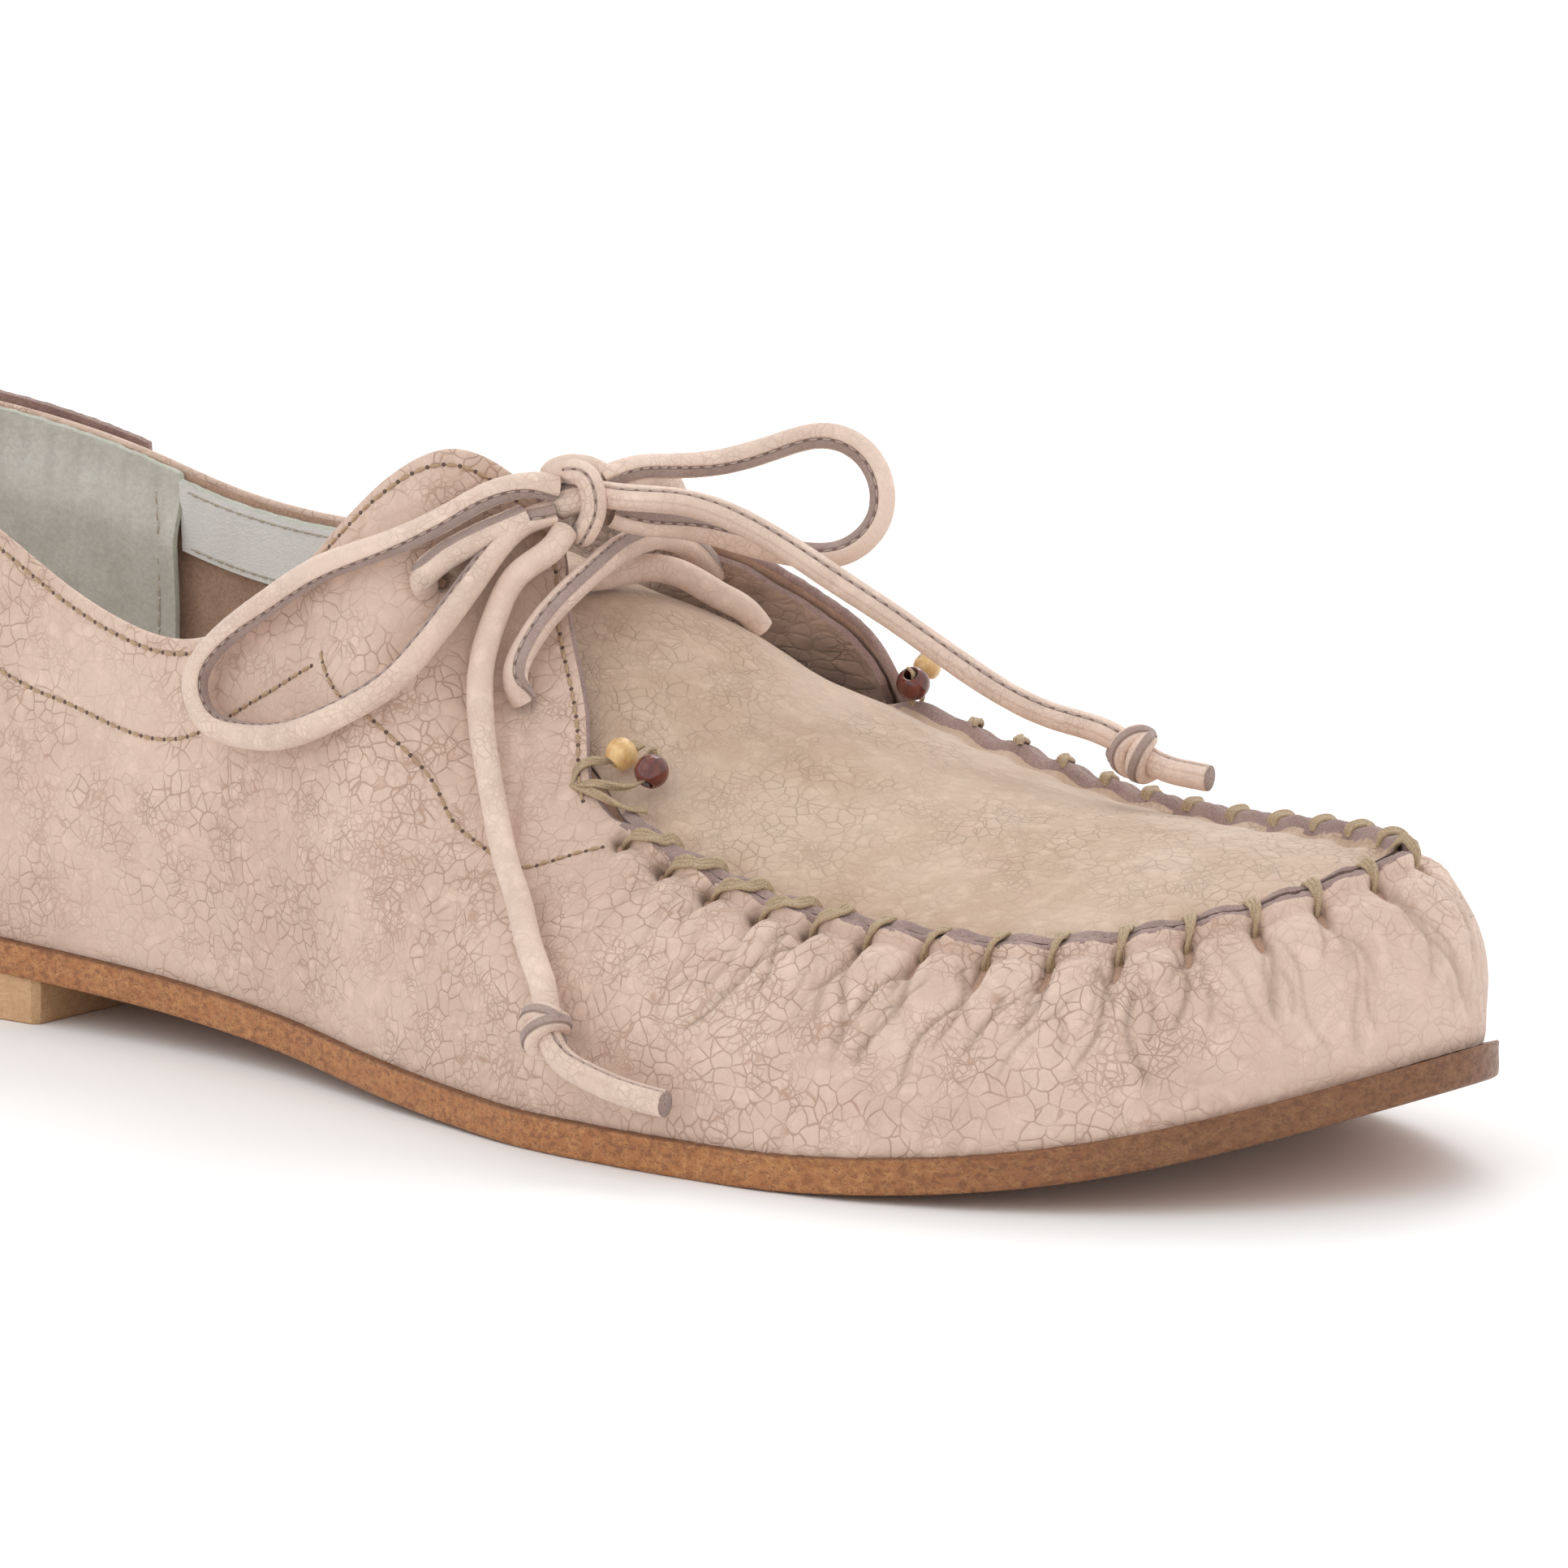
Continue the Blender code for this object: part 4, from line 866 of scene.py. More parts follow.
def apron_grid():
    """The apron and tongue as a fine grid, with its edge turned up into the seam."""
    a = np.linspace(0, APRON_LENGTH, 330)[:, None]
    w = np.linspace(-1, 1, 190)
    w = (w * (1 - 0.16 * (1 - w ** 2)))[None, :]
    base, normal = apron(a, w), apron_normal(a, w)
    grid_a = np.broadcast_to(a, base.shape[:2])
    _, crest, _ = np.split(_rib(grid_a), 3, axis=-1)
    side_length = np.linalg.norm(apron(a, np.sign(w)) - crest, axis=-1)
    edge = side_length * (1 - np.abs(w))
    edge = np.minimum(edge, grid_a + 1.2)
    sewn = ease(APRON_LENGTH - 38, APRON_LENGTH - 46, grid_a)
    seam_s = np.linspace(STITCHES[0] - 0.01, STITCHES[-1] + 0.01, 500)
    seam_line = wall(seam_s, np.ones(500))
    bulge, _ = scallop(seam_s)
    ribs = np.stack([apron(a[:, 0], np.full(len(a), side)) for side in (-1.0, 1.0)], 1)
    waves = []
    for side in (0, 1):
        distance = np.linalg.norm(ribs[:, side, None] - seam_line[None], axis=-1)
        waves.append(bulge[np.argmin(distance, axis=1)])
    wave = np.where(w < 0, waves[0][:, None], waves[1][:, None])
    lip = LIP_HEIGHT * (1.15 + 0.3 * wave) * ease(2.6, 1.1, edge)
    height = sewn * (lip - 0.5 * (1 - wave) * bell(edge - 2.6, 1.5))
    height += sewn * 0.25 * (wave - 0.5) * bell(edge - 4, 3)
    height += ease(0, 8, edge) * (0.35 * noise(base, 24, 6) + 0.16 * noise(base, 8, 7))
    height += 0.04 * noise(base, 2.2, 8)
    toe_reach = 1.5 * (1 - w ** 2) * ease(5, 0, grid_a)
    shifted = base + toe_reach[..., None] * np.array([1.0, 0.1, 0])
    return shifted + normal * height[..., None], normal, edge, sewn


def make_apron(points, normal, edge, sewn):
    shape = Shape()
    raw = (edge[1:, 1:] < 1.9) & (sewn[1:, 1:] > 0.4)
    shape.grid(points, raw.astype(int), 0.0, flip=True)
    under = points[::6, ::6] - normal[::6, ::6] * 1.5
    shape.grid(under, 1)
    rim_top = np.concatenate([points[::3, 0], points[-1, ::3], points[::-3, -1]])
    rim_normal = np.concatenate([normal[::3, 0], normal[-1, ::3], normal[::-3, -1]])
    fuzz = noise(rim_top, 0.6, 35)[:, None] * 0.15
    rim = np.stack([rim_top, rim_top - rim_normal * (0.5 + fuzz), rim_top - rim_normal * (1.1 + fuzz),
                    rim_top - rim_normal * 1.6], 1)
    shape.grid(rim, 1)
    return shape.build("apron", "shoe", [APRON_NUBUCK, MAUVE], "nubuck", ["apron"])


def layer(stations, low, high, outer, thickness, looks, relief, pitch=0.7, rows=60):
    """A lining or patch between two heights of the wall: outer face, rim and inner face."""
    first, last = station_s(stations[0]), station_s(stations[1])
    last = last + 1 if last < first else last
    length = (last - first) * _round
    s = np.linspace(first, last, int(length / pitch))
    t0, t1 = low(s), high(s)
    t = t0[:, None] + (t1 - t0)[:, None] * np.linspace(0, 1, rows)
    grid_s = np.broadcast_to(s[:, None], t.shape)
    points, normal = wall(grid_s, t), wall_normal(grid_s, t)
    height, dark = relief(grid_s, t, points)
    outside = points - normal * (outer - height)[..., None]
    inside = points - normal * (outer + thickness - height)[..., None]
    shape = Shape()
    shape.grid(outside, 0, dark)
    shape.grid(inside, 0 if len(looks) < 3 else 2, dark, flip=True)
    loop_out = np.concatenate([outside[:, 0], outside[-1, 1:], outside[::-1, -1][1:], outside[0, ::-1][1:]])
    loop_in = np.concatenate([inside[:, 0], inside[-1, 1:], inside[::-1, -1][1:], inside[0, ::-1][1:]])
    fuzz = 0.12 * noise(loop_out, 0.6, 37)[:, None]
    centre = (loop_out + loop_in) / 2
    away = np.concatenate([points[:, 0] - points[:, 1], points[-1, 1:] - points[-2, 1:],
                           (points[:, -1] - points[:, -2])[::-1][1:], (points[0] - points[1])[::-1][1:]])
    shape.grid(np.stack([loop_out, centre + unit(away) * (0.3 + fuzz), loop_in], 1), 1, flip=True)
    return shape


def top_at(s):
    return _upper(s)[:, 4]


def make_linings():
    inner = LEATHER + LAYER_GAP
    ledge = 2 * GAP + LEATHER + INSOLE_THICKNESS + GAP

    def above_insole(s):
        return height_t(s, sole_top(sole_edge(s, WELT)[0][:, 0]) + ledge + 0.5)

    def puckered(s, t, points):
        near_top = ease(0.80, 0.97, t)
        waves = np.sin(s * _round * 2 * np.pi / 4.6 + 2.2 * noise(points, 9, 41))
        flare = 2.3 * ease(0.82, 0.97, t)
        height = flare + near_top * 0.2 * waves + 0.35 * noise(points, 14, 42) * ease(1.0, 0.9, t)
        # Painted shade in the troughs of the puckers near the top.
        return height, near_top * 0.16 * ease(0.4, 1, -waves)

    shape = layer((46.5, 3.5), above_insole, lambda s: np.full(len(s), 0.997),
                  inner + COUNTER_THICKNESS + LAYER_GAP, LINING_THICKNESS,
                  [GREY_SUEDE, BINDING], puckered)
    shape.build("heel_lining", "shoe", [GREY_SUEDE, BINDING], "grey_suede", ["heel_lining"])

    def slack(s, t, points):
        return 0.12 * noise(points, 12, 43), 0.0

    for side, first, last in (("lateral", 3.5, 9.3), ("medial", 42.6, 46.5)):
        shape = layer((first, last), lambda s: height_t(s, top_at(s) - 10.4),
                      lambda s: height_t(s, top_at(s) - 0.8), inner, LINING_THICKNESS,
                      [CREAM, BINDING], slack, rows=24)
        shape.build(f"collar_lining_{side}", "shoe", [CREAM, BINDING], "cream_leather",
                    [f"collar_lining_{side}"])

    def wrinkled(s, t, points):
        folds = noise(points * np.array([0.7, 1, 2.2]), 5, 44)
        # Painted shade in the hollows of the folds.
        return 0.30 * folds + 0.18 * noise(points, 2.2, 45), 0.35 * ease(-0.25, -0.6, folds)

    for side, first, last, heights in (("lateral", 9.6, 17.4, (50, 38, 37, 39)),
                                       ("medial", 35.6, 42.3, (43, 40, 44, 52))):
        shape = layer((first, last),
                      lambda s: height_t(s, np.interp(np.linspace(0, 3, len(s)), range(4), heights)),
                      lambda s: np.full(len(s), 0.985), inner, LINING_THICKNESS,
                      [FACING_NUBUCK, MAUVE], wrinkled, pitch=0.45, rows=80)
        shape.build(f"facing_lining_{side}", "shoe", [FACING_NUBUCK, MAUVE], "nubuck",
                    [f"facing_lining_{side}"])


def make_heel_tab():
    def arch(s):
        return np.sin(np.linspace(0.35, np.pi - 0.35, len(s))) ** 0.5

    def soft(s, t, points):
        return 0.10 * noise(points, 7, 46) + 0.25 * ease(1.0, 0.9, t), 0.0

    shape = layer((46.9, 3.1), lambda s: height_t(s, top_at(s) - 20 * arch(s)),
                  lambda s: 1 + 0.024 * arch(s), -LAYER_GAP - TAB_THICKNESS, TAB_THICKNESS,
                  [TAB_SUEDE, MAUVE], soft, rows=50)
    shape.build("heel_tab", "shoe", [TAB_SUEDE, MAUVE], "mauve_suede", ["heel_tab"])


# ---------------------------------------------------------------- the bottom
# The outsole's cut edge from the top down: (millimetres out, millimetres down, darkness). The darkness is
# painted shade: a thin line at the joint under the upper and a little at the bottom edge.
SOLE_EDGE = [(-0.55, 0.0, 0.55), (-0.10, 0.04, 0.6), (0.0, 0.16, 0.35), (0.0, 0.34, 0.0),
             (-0.06, 1.0, 0.0), (-0.02, 2.0, 0.0), (0.03, 3.0, 0.0), (0.0, 3.8, 0.0),
             (-0.06, 4.2, 0.0), (-0.3, 4.42, 0.2), (-0.7, 4.5, 0.2)]
# The heel block's side from the ground up: (millimetres out, level). A level up to 0.5 is a height
# in millimetres, and a higher one is a share of the way to the outsole.
HEEL_SIDE = [(-0.9, 0), (-0.35, 0.0), (-0.08, 0.22), (0, 0.55), (0.03, 0.75), (0, 0.95),
             (-0.12, 1.0), (-0.6, 1.0)]
HEEL_FRONT_STEPS = 60
HEEL_SHARP = math.radians(40)


def rings(outline, inner_line, shares):
    """Rings that close in from an outline to a middle line."""
    return [outline + (inner_line - outline) * k for k in shares]


def make_outsole():
    s = np.linspace(0, 1, 1500, endpoint=False)
    xy, outward = sole_edge(s)
    middle_x = np.clip(xy[:, 0], 14, 244)
    middle_y = np.interp(middle_x, [0, 40, 100, 150, 200, 258], [0, -1, -4, -8, -7, 2])
    middle = np.stack([middle_x, middle_y], 1)
    wobble = 0.10 * noise(with_z(xy, xy[:, 0] * 0), 3.5, 51)
    shape = Shape()
    rows, dark = [], []
    burnish = 0.62 * ease(190, 246, xy[:, 0])
    for out, below, shade in SOLE_EDGE:
        ring = xy + outward * (out + wobble * (0.2 < below < 4.3))[:, None]
        rows.append(with_z(ring, sole_top(ring[:, 0]) - below))
        dark.append(np.maximum(shade, burnish))
    top_rings = [with_z(r, sole_top(r[:, 0])) for r in rings(xy, middle, (0.06, 0.12, 0.3, 0.6, 1.0))]
    low_rings = [with_z(r, sole_under(r[:, 0])) for r in rings(xy, middle, (0.04, 0.08, 0.2, 0.4, 0.7, 1.0))]
    points = np.stack(top_rings[::-1] + rows + low_rings, 1)
    # The top rings, on the welt under the upper's overhang, get painted shade 0.6. The edge's darker toe
    # tone rides on the same values.
    shades = np.stack([np.full(len(s), 0.6)] * 5 + dark + [np.zeros(len(s))] * 6, 1)
    shape.grid(points, 0, shades, loop=True, flip=True)
    shape.build("outsole", "shoe", [SOLE], "sole_leather", ["outsole"])


def make_heel_block():
    s = np.concatenate([np.linspace(station_s(45.2), 1, 150), np.linspace(0, station_s(4.8), 150)[1:]])
    xy, outward = sole_edge(s, HEEL_INSET)
    keep = xy[:, 0] < HEEL_LENGTH - 0.3
    xy, outward = xy[keep], outward[keep]
    front_y = np.linspace(xy[-1, 1], xy[0, 1], HEEL_FRONT_STEPS + 2)[1:-1]
    front = np.stack([np.full(HEEL_FRONT_STEPS, float(HEEL_LENGTH)), front_y], 1)
    outline = np.concatenate([xy, front])
    away = np.concatenate([outward, np.tile([1.0, 0.0], (HEEL_FRONT_STEPS, 1))])
    rows = []
    for out, level in HEEL_SIDE:
        ring = outline + away * out
        top = sole_under(ring[:, 0]) - 0.05
        z = np.full(len(ring), float(level)) if level <= 0.5 else top * level
        rows.append(with_z(ring, z))
    middle = np.stack([np.clip(outline[:, 0], 16, 44), np.zeros(len(outline)) - 0.5], 1)
    bottom = [with_z(r, np.zeros(len(r))) for r in rings(outline, middle, (1.0, 0.6, 0.25, 0.08))]
    lid = [with_z(r, sole_under(r[:, 0]) - 0.05) for r in rings(outline, middle, (0.08, 0.4, 1.0))]
    shape = Shape()
    points = np.stack(bottom + rows + lid, 1)
    shape.grid(points, 0, 0.0, loop=True)
    block = shape.build("heel_block", "shoe", [HEEL], "heel_leather", ["heel_block"])
    block.data.set_sharp_from_angle(angle=HEEL_SHARP)


# ---------------------------------------------------------------- stitches
def capsule(shape, start, end, normal, width, thick, kind=0, sides=8, rings_count=7):
    """One short stitch that bows a little out of the leather."""
    u = np.linspace(0, 1, rings_count)
    arch = np.sin(np.pi * u)
    points = start + (end - start) * u[:, None] + normal * (thick * (0.55 * arch - 0.15))[:, None]
    tangent = unit(end - start)
    side = unit(np.cross(normal, tangent))
    angle = np.linspace(0, 2 * np.pi, sides, endpoint=False)
    swell = np.clip(np.sin(np.pi * (u * 0.94 + 0.03)), 0, 1) ** 0.35
    ring = (points[:, None] + side * (np.cos(angle) * width / 2)[None, :, None] * swell[:, None, None]
            + normal * (np.sin(angle) * thick / 2)[None, :, None] * swell[:, None, None])
    i, j = np.meshgrid(np.arange(rings_count - 1), np.arange(sides), indexing="ij")
    k = (j + 1) % sides
    faces = np.stack([i * sides + j, i * sides + k, (i + 1) * sides + k, (i + 1) * sides + j], -1)
    shape.add(ring, faces.reshape(-1, 4), kind)


def stitch_row(shape, points, normals, pitch, width, thick, gap=0.28, kind=0, hole_kind=1):
    """Machine stitches along a line on a surface, with a needle hole between each two: a flat capsule in
    hole_kind's look, which is painted shade where that look is dark.
    """
    run, length = along(points)
    count = max(2, int(length / pitch))
    ends = np.linspace(0, length, count + 1)

    def at(u):
        return (np.array([np.interp(u, run, points[:, k]) for k in range(3)]),
                unit(np.array([np.interp(u, run, normals[:, k]) for k in range(3)])))

    rng = np.random.default_rng(int(length * 10))
    for a, b in zip(ends[:-1], ends[1:]):
        wander = rng.normal(0, 0.05, 2)
        start, normal = at(a + gap + wander[0])
        end, _ = at(b - gap + wander[1])
        capsule(shape, start, end, normal, width, thick, kind)
        hole, normal = at(b)
        tangent = unit(end - start)
        capsule(shape, hole - tangent * 0.26, hole + tangent * 0.26, normal, width * 1.15, 0.10, hole_kind,
                sides=6, rings_count=5)


def make_fine_stitches(upper):
    shape = Shape()
    for row in FINE_ROWS.values():
        s = stations_to_s([p[0] for p in row])
        down = [p[1] for p in row]
        key = np.arange(len(row))
        path = spline(key, np.stack([s, down], 1))(np.linspace(0, len(row) - 1, 40 * len(row)))
        points, normals = upper.at(np.clip(path[:, 0], 0, 0.9999), path[:, 1])
        stitch_row(shape, points + normals * 0.05, normals, 2.05, 0.46, 0.40)
    shape.build("upper_stitches", "shoe", [FINE_THREAD, PAINTED_HOLE_SHADE], "waxed_thread")


def make_lining_stitches():
    """Fine rows on both edges of the collar strips and along the heel lining's front edges."""
    inner = LEATHER + LAYER_GAP + LINING_THICKNESS
    shape = Shape()
    for first, last in ((3.7, 9.2), (42.7, 46.4)):
        s = np.linspace(station_s(first), station_s(last), 200)
        for below in (1.8, 9.5):
            t = height_t(s, top_at(s) - below)
            normals = wall_normal(s, t)
            points = wall(s, t) - normals * (inner + 0.05)
            stitch_row(shape, points, -normals, 1.9, 0.36, 0.26)
    for station in (3.35, 46.65):
        s = np.full(60, station_s(station))
        t = np.linspace(0.35, 0.95, 60)
        normals = wall_normal(s, t)
        points = wall(s, t) - normals * (inner + COUNTER_THICKNESS + LAYER_GAP + 0.05)
        stitch_row(shape, points, -normals, 2.0, 0.36, 0.26)
    shape.build("lining_stitches", "shoe", [PALE_THREAD, GREY_SUEDE], "waxed_thread")


def twisted(shape, route, spacing, toward, width=THREAD, strands=3, twist=0.35, kind=0):
    """Waxed thread: a few strands side by side that turn slowly round each other."""
    points, side, top = framed(route, spacing, toward)
    run, _ = along(points)
    angle = np.linspace(0, 2 * np.pi, 7, endpoint=False)
    radius = width / (strands + 0.6)
    for number in range(strands):
        offset = (number - (strands - 1) / 2) * radius * 1.25
        turn = run * twist
        centre = (points + side * (offset * np.cos(turn))[:, None]
                  + top * (offset * np.sin(turn) * 0.6)[:, None])
        shape.tube((centre, side, top), radius * 0.72 * np.cos(angle), radius * 0.72 * np.sin(angle), kind)


def make_seam_stitches(upper, apron_points, apron_normals):
    """The hand stitches: each rises from its hole over the two raw edges and down into the apron."""
    shape = Shape()
    flat, flat_normal = apron_points.reshape(-1, 3), apron_normals.reshape(-1, 3)
    for s in STITCHES:
        run = float(sideways(s))
        scale = float(np.linalg.norm(wall(s + 1e-3, 1.0) - wall(s - 1e-3, 1.0)) / 2e-3)
        share = np.array([-0.08, 0.0, 0.12, 0.45, 0.8, 1.0])
        down = np.array([HOLE_DOWN + 0.7, HOLE_DOWN + 0.1, HOLE_DOWN - 0.2, HOLE_DOWN - 0.7, 0.5, 0.05])
        lift = np.array([-0.9, -0.2, 0.3, 0.45, 0.45, 0.5])
        points, normals = upper.at(s + run * share / scale, down)
        path = list(points + normals * lift[:, None])
        over = s + run / scale
        inward = unit(wall(np.array(over), np.array(1.0)) - wall(np.array(over), np.array(0.97)))
        along_seam = unit(wall(over + 1e-3, 1.0) - wall(over - 1e-3, 1.0))
        crest = points[-1] + normals[-1] * 0.5
        for step, rise in ((1.0, 0.5), (1.9, 0.4), (2.6, 0.2), (3.1, -0.5)):
            target = crest + inward * step + along_seam * step * 0.09 * run
            nearest = np.argmin(np.linalg.norm((flat - target)[:, :2], axis=1))
            surface = flat[nearest] + flat_normal[nearest] * rise
            path.append(np.array([target[0], target[1], surface[2]]))
        side = unit(along_seam)
        twisted(shape, np.array(path), 0.35, side, 1.75)
    shape.build("apron_thread", "shoe", [WAXED], "waxed_thread", ["apron_thread"])


# ---------------------------------------------------------------- beads and their thread
BEADS = {"bead_lateral_tan": ((149.8, -23.6, 44.2), (0.37, 0.67, 0.64), 2.05, TAN_BEAD),
         "bead_lateral_dark": ((155.4, -24.8, 42.8), (0.0, 0.62, 0.79), 2.15, DARK_BEAD),
         "bead_medial_dark": ((158.6, 24.6, 47.4), (0.22, -0.6, 0.77), 2.15, DARK_BEAD),
         "bead_medial_tan": ((157.5, 29.0, 48.8), (0.0, 0.26, 0.97), 1.8, TAN_BEAD)}


def make_beads():
    for name, (centre, axis, radius, look) in BEADS.items():
        bore, rim = BEAD_BORE / 2, 0.28
        outer = np.linspace(math.asin((bore + rim) / radius), math.pi - math.asin((bore + rim) / radius), 36)
        profile = [(radius * math.sin(a), radius * math.cos(a)) for a in outer]
        end = profile[-1][1]
        inner = [(bore + rim * 0.35, end * 0.985), (bore, end * 0.93), (bore, 0), (bore, -end * 0.93),
                 (bore + rim * 0.35, -end * 0.985)]
        # Painted shade inside the bore.
        shades = [0.0] * 36 + [0.1, 0.6, 1.0, 0.6, 0.1]
        profile = np.array(profile + inner)
        turn = np.array(Vector(axis).to_track_quat("Z", "Y").to_matrix())
        angle = np.linspace(0, 2 * np.pi, 48, endpoint=False)
        ring = np.stack([profile[None, :, 0] * np.cos(angle)[:, None],
                         profile[None, :, 0] * np.sin(angle)[:, None],
                         np.broadcast_to(profile[None, :, 1], (48, len(profile)))], -1)
        ring = np.concatenate([ring, ring[:, :1]], 1) @ turn.T + np.array(centre)
        shade = np.broadcast_to(np.array(shades + [0.0]), (48, len(shades) + 1))
        shape = Shape()
        shape.grid(ring, 0, shade, loop=True)
        shape.build(name, name, [look], "tan_bead" if look is TAN_BEAD else "dark_bead", [name])


def make_bead_threads():
    """The thread ends at the two notches: through the beads and back into the leather."""
    lateral = Shape()
    corner = (145.2, -27.6, 40.2)
    for route in (
            [corner, (145.4, -26.9, 42.2), (146.9, -25.7, 43.3), (148.5, -24.6, 43.4), (149.8, -23.6, 44.2)],
            [(149.8, -23.6, 44.2), (151.0, -22.4, 45.4), (151.8, -22.2, 44.9)],
            [corner, (148.6, -28.2, 40.0), (151.6, -28.6, 39.4), (154.6, -28.2, 38.6), (156.2, -26.8, 38.4)],
            [corner, (148.4, -27.4, 40.9), (151.0, -27.0, 40.8), (153.4, -26.2, 41.0), (155.4, -24.8, 42.8)],
            [(155.4, -24.8, 42.8), (155.4, -23.6, 44.6), (154.4, -22.9, 44.9), (153.2, -23.2, 43.6)]):
        twisted(lateral, route, 0.3, TO_CAMERA, 1.45)
    lateral.build("bead_tie_lateral", "shoe", [WAXED], "waxed_thread",
                  ["bead_tie_lateral_tan", "bead_tie_lateral_dark"])
    medial = Shape()
    for route in (
            [(156.6, 25.2, 42.0), (157.6, 25.4, 44.2), (158.6, 24.6, 47.4), (159.1, 23.9, 48.9),
             (158.4, 24.2, 49.2)],
            [(156.8, 28.6, 43.6), (157.2, 28.8, 46.4), (157.5, 29.0, 48.8), (157.6, 28.8, 50.2),
             (156.8, 28.4, 50.2)],
            [(155.6, 26.8, 42.8), (157.8, 25.6, 43.0), (160.0, 26.0, 42.6), (161.4, 26.8, 41.8)]):
        twisted(medial, route, 0.3, TO_CAMERA, 1.2)
    medial.build("bead_tie_medial", "shoe", [WAXED], "waxed_thread",
                 ["bead_tie_medial_tan", "bead_tie_medial_dark"])


# ---------------------------------------------------------------- the lace
ROUTES = {
    "lace_crossing_front": [(135, -25.8, 51.6), (134.8, -23.6, 56), (136.4, -18.4, 61.4),
                            (137, -13, 64.4), (135.6, -6, 66), (133.4, 1.5, 66.2),
                            (131.2, 8.5, 65.6), (130.8, 14.4, 63.6)],
    "lace_crossing_back": [(127.6, -8.6, 61.8), (128.2, -4.4, 61.6), (129.4, 0, 61.5),
                           (131.4, 5.4, 61.9), (133.8, 7.8, 61.3), (136.2, 9.6, 59.8),
                           (138.4, 11.6, 58.0), (139.8, 14.4, 56.1)],
    "lace_riser_lateral": [(122.9, -28.9, 64.4), (124, -27.7, 66), (125.4, -25.9, 67.4)],
    "lace_riser_medial": [(120.6, 27, 59), (121.2, 25.6, 64.6), (122.4, 20.8, 70.2),
                          (125, 12, 72.4), (128, 2, 73), (130.6, -7, 72.6)],
    "bow_loop_lateral": [(131.2, -16.8, 75), (127.9, -20, 74.4), (124.4, -25.6, 71.6),
                         (119, -31, 68.2), (110.6, -33.4, 64.8), (101.3, -33.4, 59.4),
                         (93.6, -33.4, 54), (90.1, -34.2, 48.4), (92.6, -35.4, 44.6),
                         (99, -36.8, 43.2), (109.8, -39.2, 44.6), (118.6, -39.4, 48.4),
                         (123.6, -36.8, 52), (125.8, -33, 56), (127.2, -28.6, 60.6),
                         (128.4, -23.6, 65.8), (130.4, -17.4, 70.6)],
    "bow_loop_medial": [(136.6, -8.2, 75.8), (137.6, 0, 76), (140.8, 9, 75.9),
                        (145, 14.8, 77.6), (149.4, 18.2, 78.8), (153.2, 19.8, 77.6),
                        (156.8, 20, 73.4), (157.6, 18.4, 68.8), (155, 14.6, 65),
                        (151, 11, 64.8), (146, 7, 66.2), (141, 1.5, 68.4), (138, -6.8, 70)],
    "lace_tail_lateral": [(133.6, -17, 67.2), (131.4, -20.4, 64.6), (130.6, -24, 60),
                          (131.6, -28.4, 53.6), (133.6, -31, 48), (136.8, -33.8, 43),
                          (140.9, -37.2, 37.8), (145.4, -40.8, 32.9), (150.2, -44.3, 28.9),
                          (155, -48, 24), (159.6, -51.2, 20)],
    "lace_tail_medial": [(138.8, -10.8, 73.6), (144, -3.5, 72.4), (151.8, 4, 67.8),
                         (159.4, 7, 63), (166.9, 9, 58.7), (177.2, 12, 52.2),
                         (187.8, 14.5, 47.6), (194.6, 16, 46)],
    "lace_end_lateral": [(165.4, -55, 13), (169, -55, 11.6), (175.4, -55, 10.2),
                         (181.4, -54.8, 9.6)],
    "lace_end_medial": [(202.9, 17.2, 42.3), (205.9, 17.6, 41.9), (209.2, 18, 41.6)]}
TAIL_KNOTS = {"tail_knot_lateral": ((162, -53.8, 16), (0.5, -0.45, -0.74)),
              "tail_knot_medial": ((198.9, 16.6, 43.9), (0.83, 0.14, -0.53))}
# Round the lace, in degrees from its seam: the grain leather's folded edge, the needle line and
# the strip of flesh side that shows beside it.
STRIP_FROM, STRIP_TO = 6, 44
LACE_FLATNESS = 0.90


def lace_section():
    """The rolled lace's section: direction, radius, and whether that stretch is raw flesh side."""
    degrees = np.array([-178, -160, -142, -124, -106, -88, -70, -54, -40, -28, -18, -10, -4, 0, 4, 8, 14,
                        22, 32, 42, 52, 58, 63, 74, 90, 106, 122, 138, 154, 168], float)
    groove = 0.26 * bell(degrees, 6) + 0.10 * bell(degrees - 60, 5)
    strip = 0.10 * ease(STRIP_FROM, STRIP_FROM + 8, degrees) * ease(STRIP_TO, STRIP_TO - 8, degrees)
    radius = LACE / 2 * (1 - groove) - strip
    raw = (degrees > STRIP_FROM - 3) & (degrees < STRIP_TO)
    return np.radians(degrees), radius, raw.astype(int)


SHORTEST_SEWN = 8


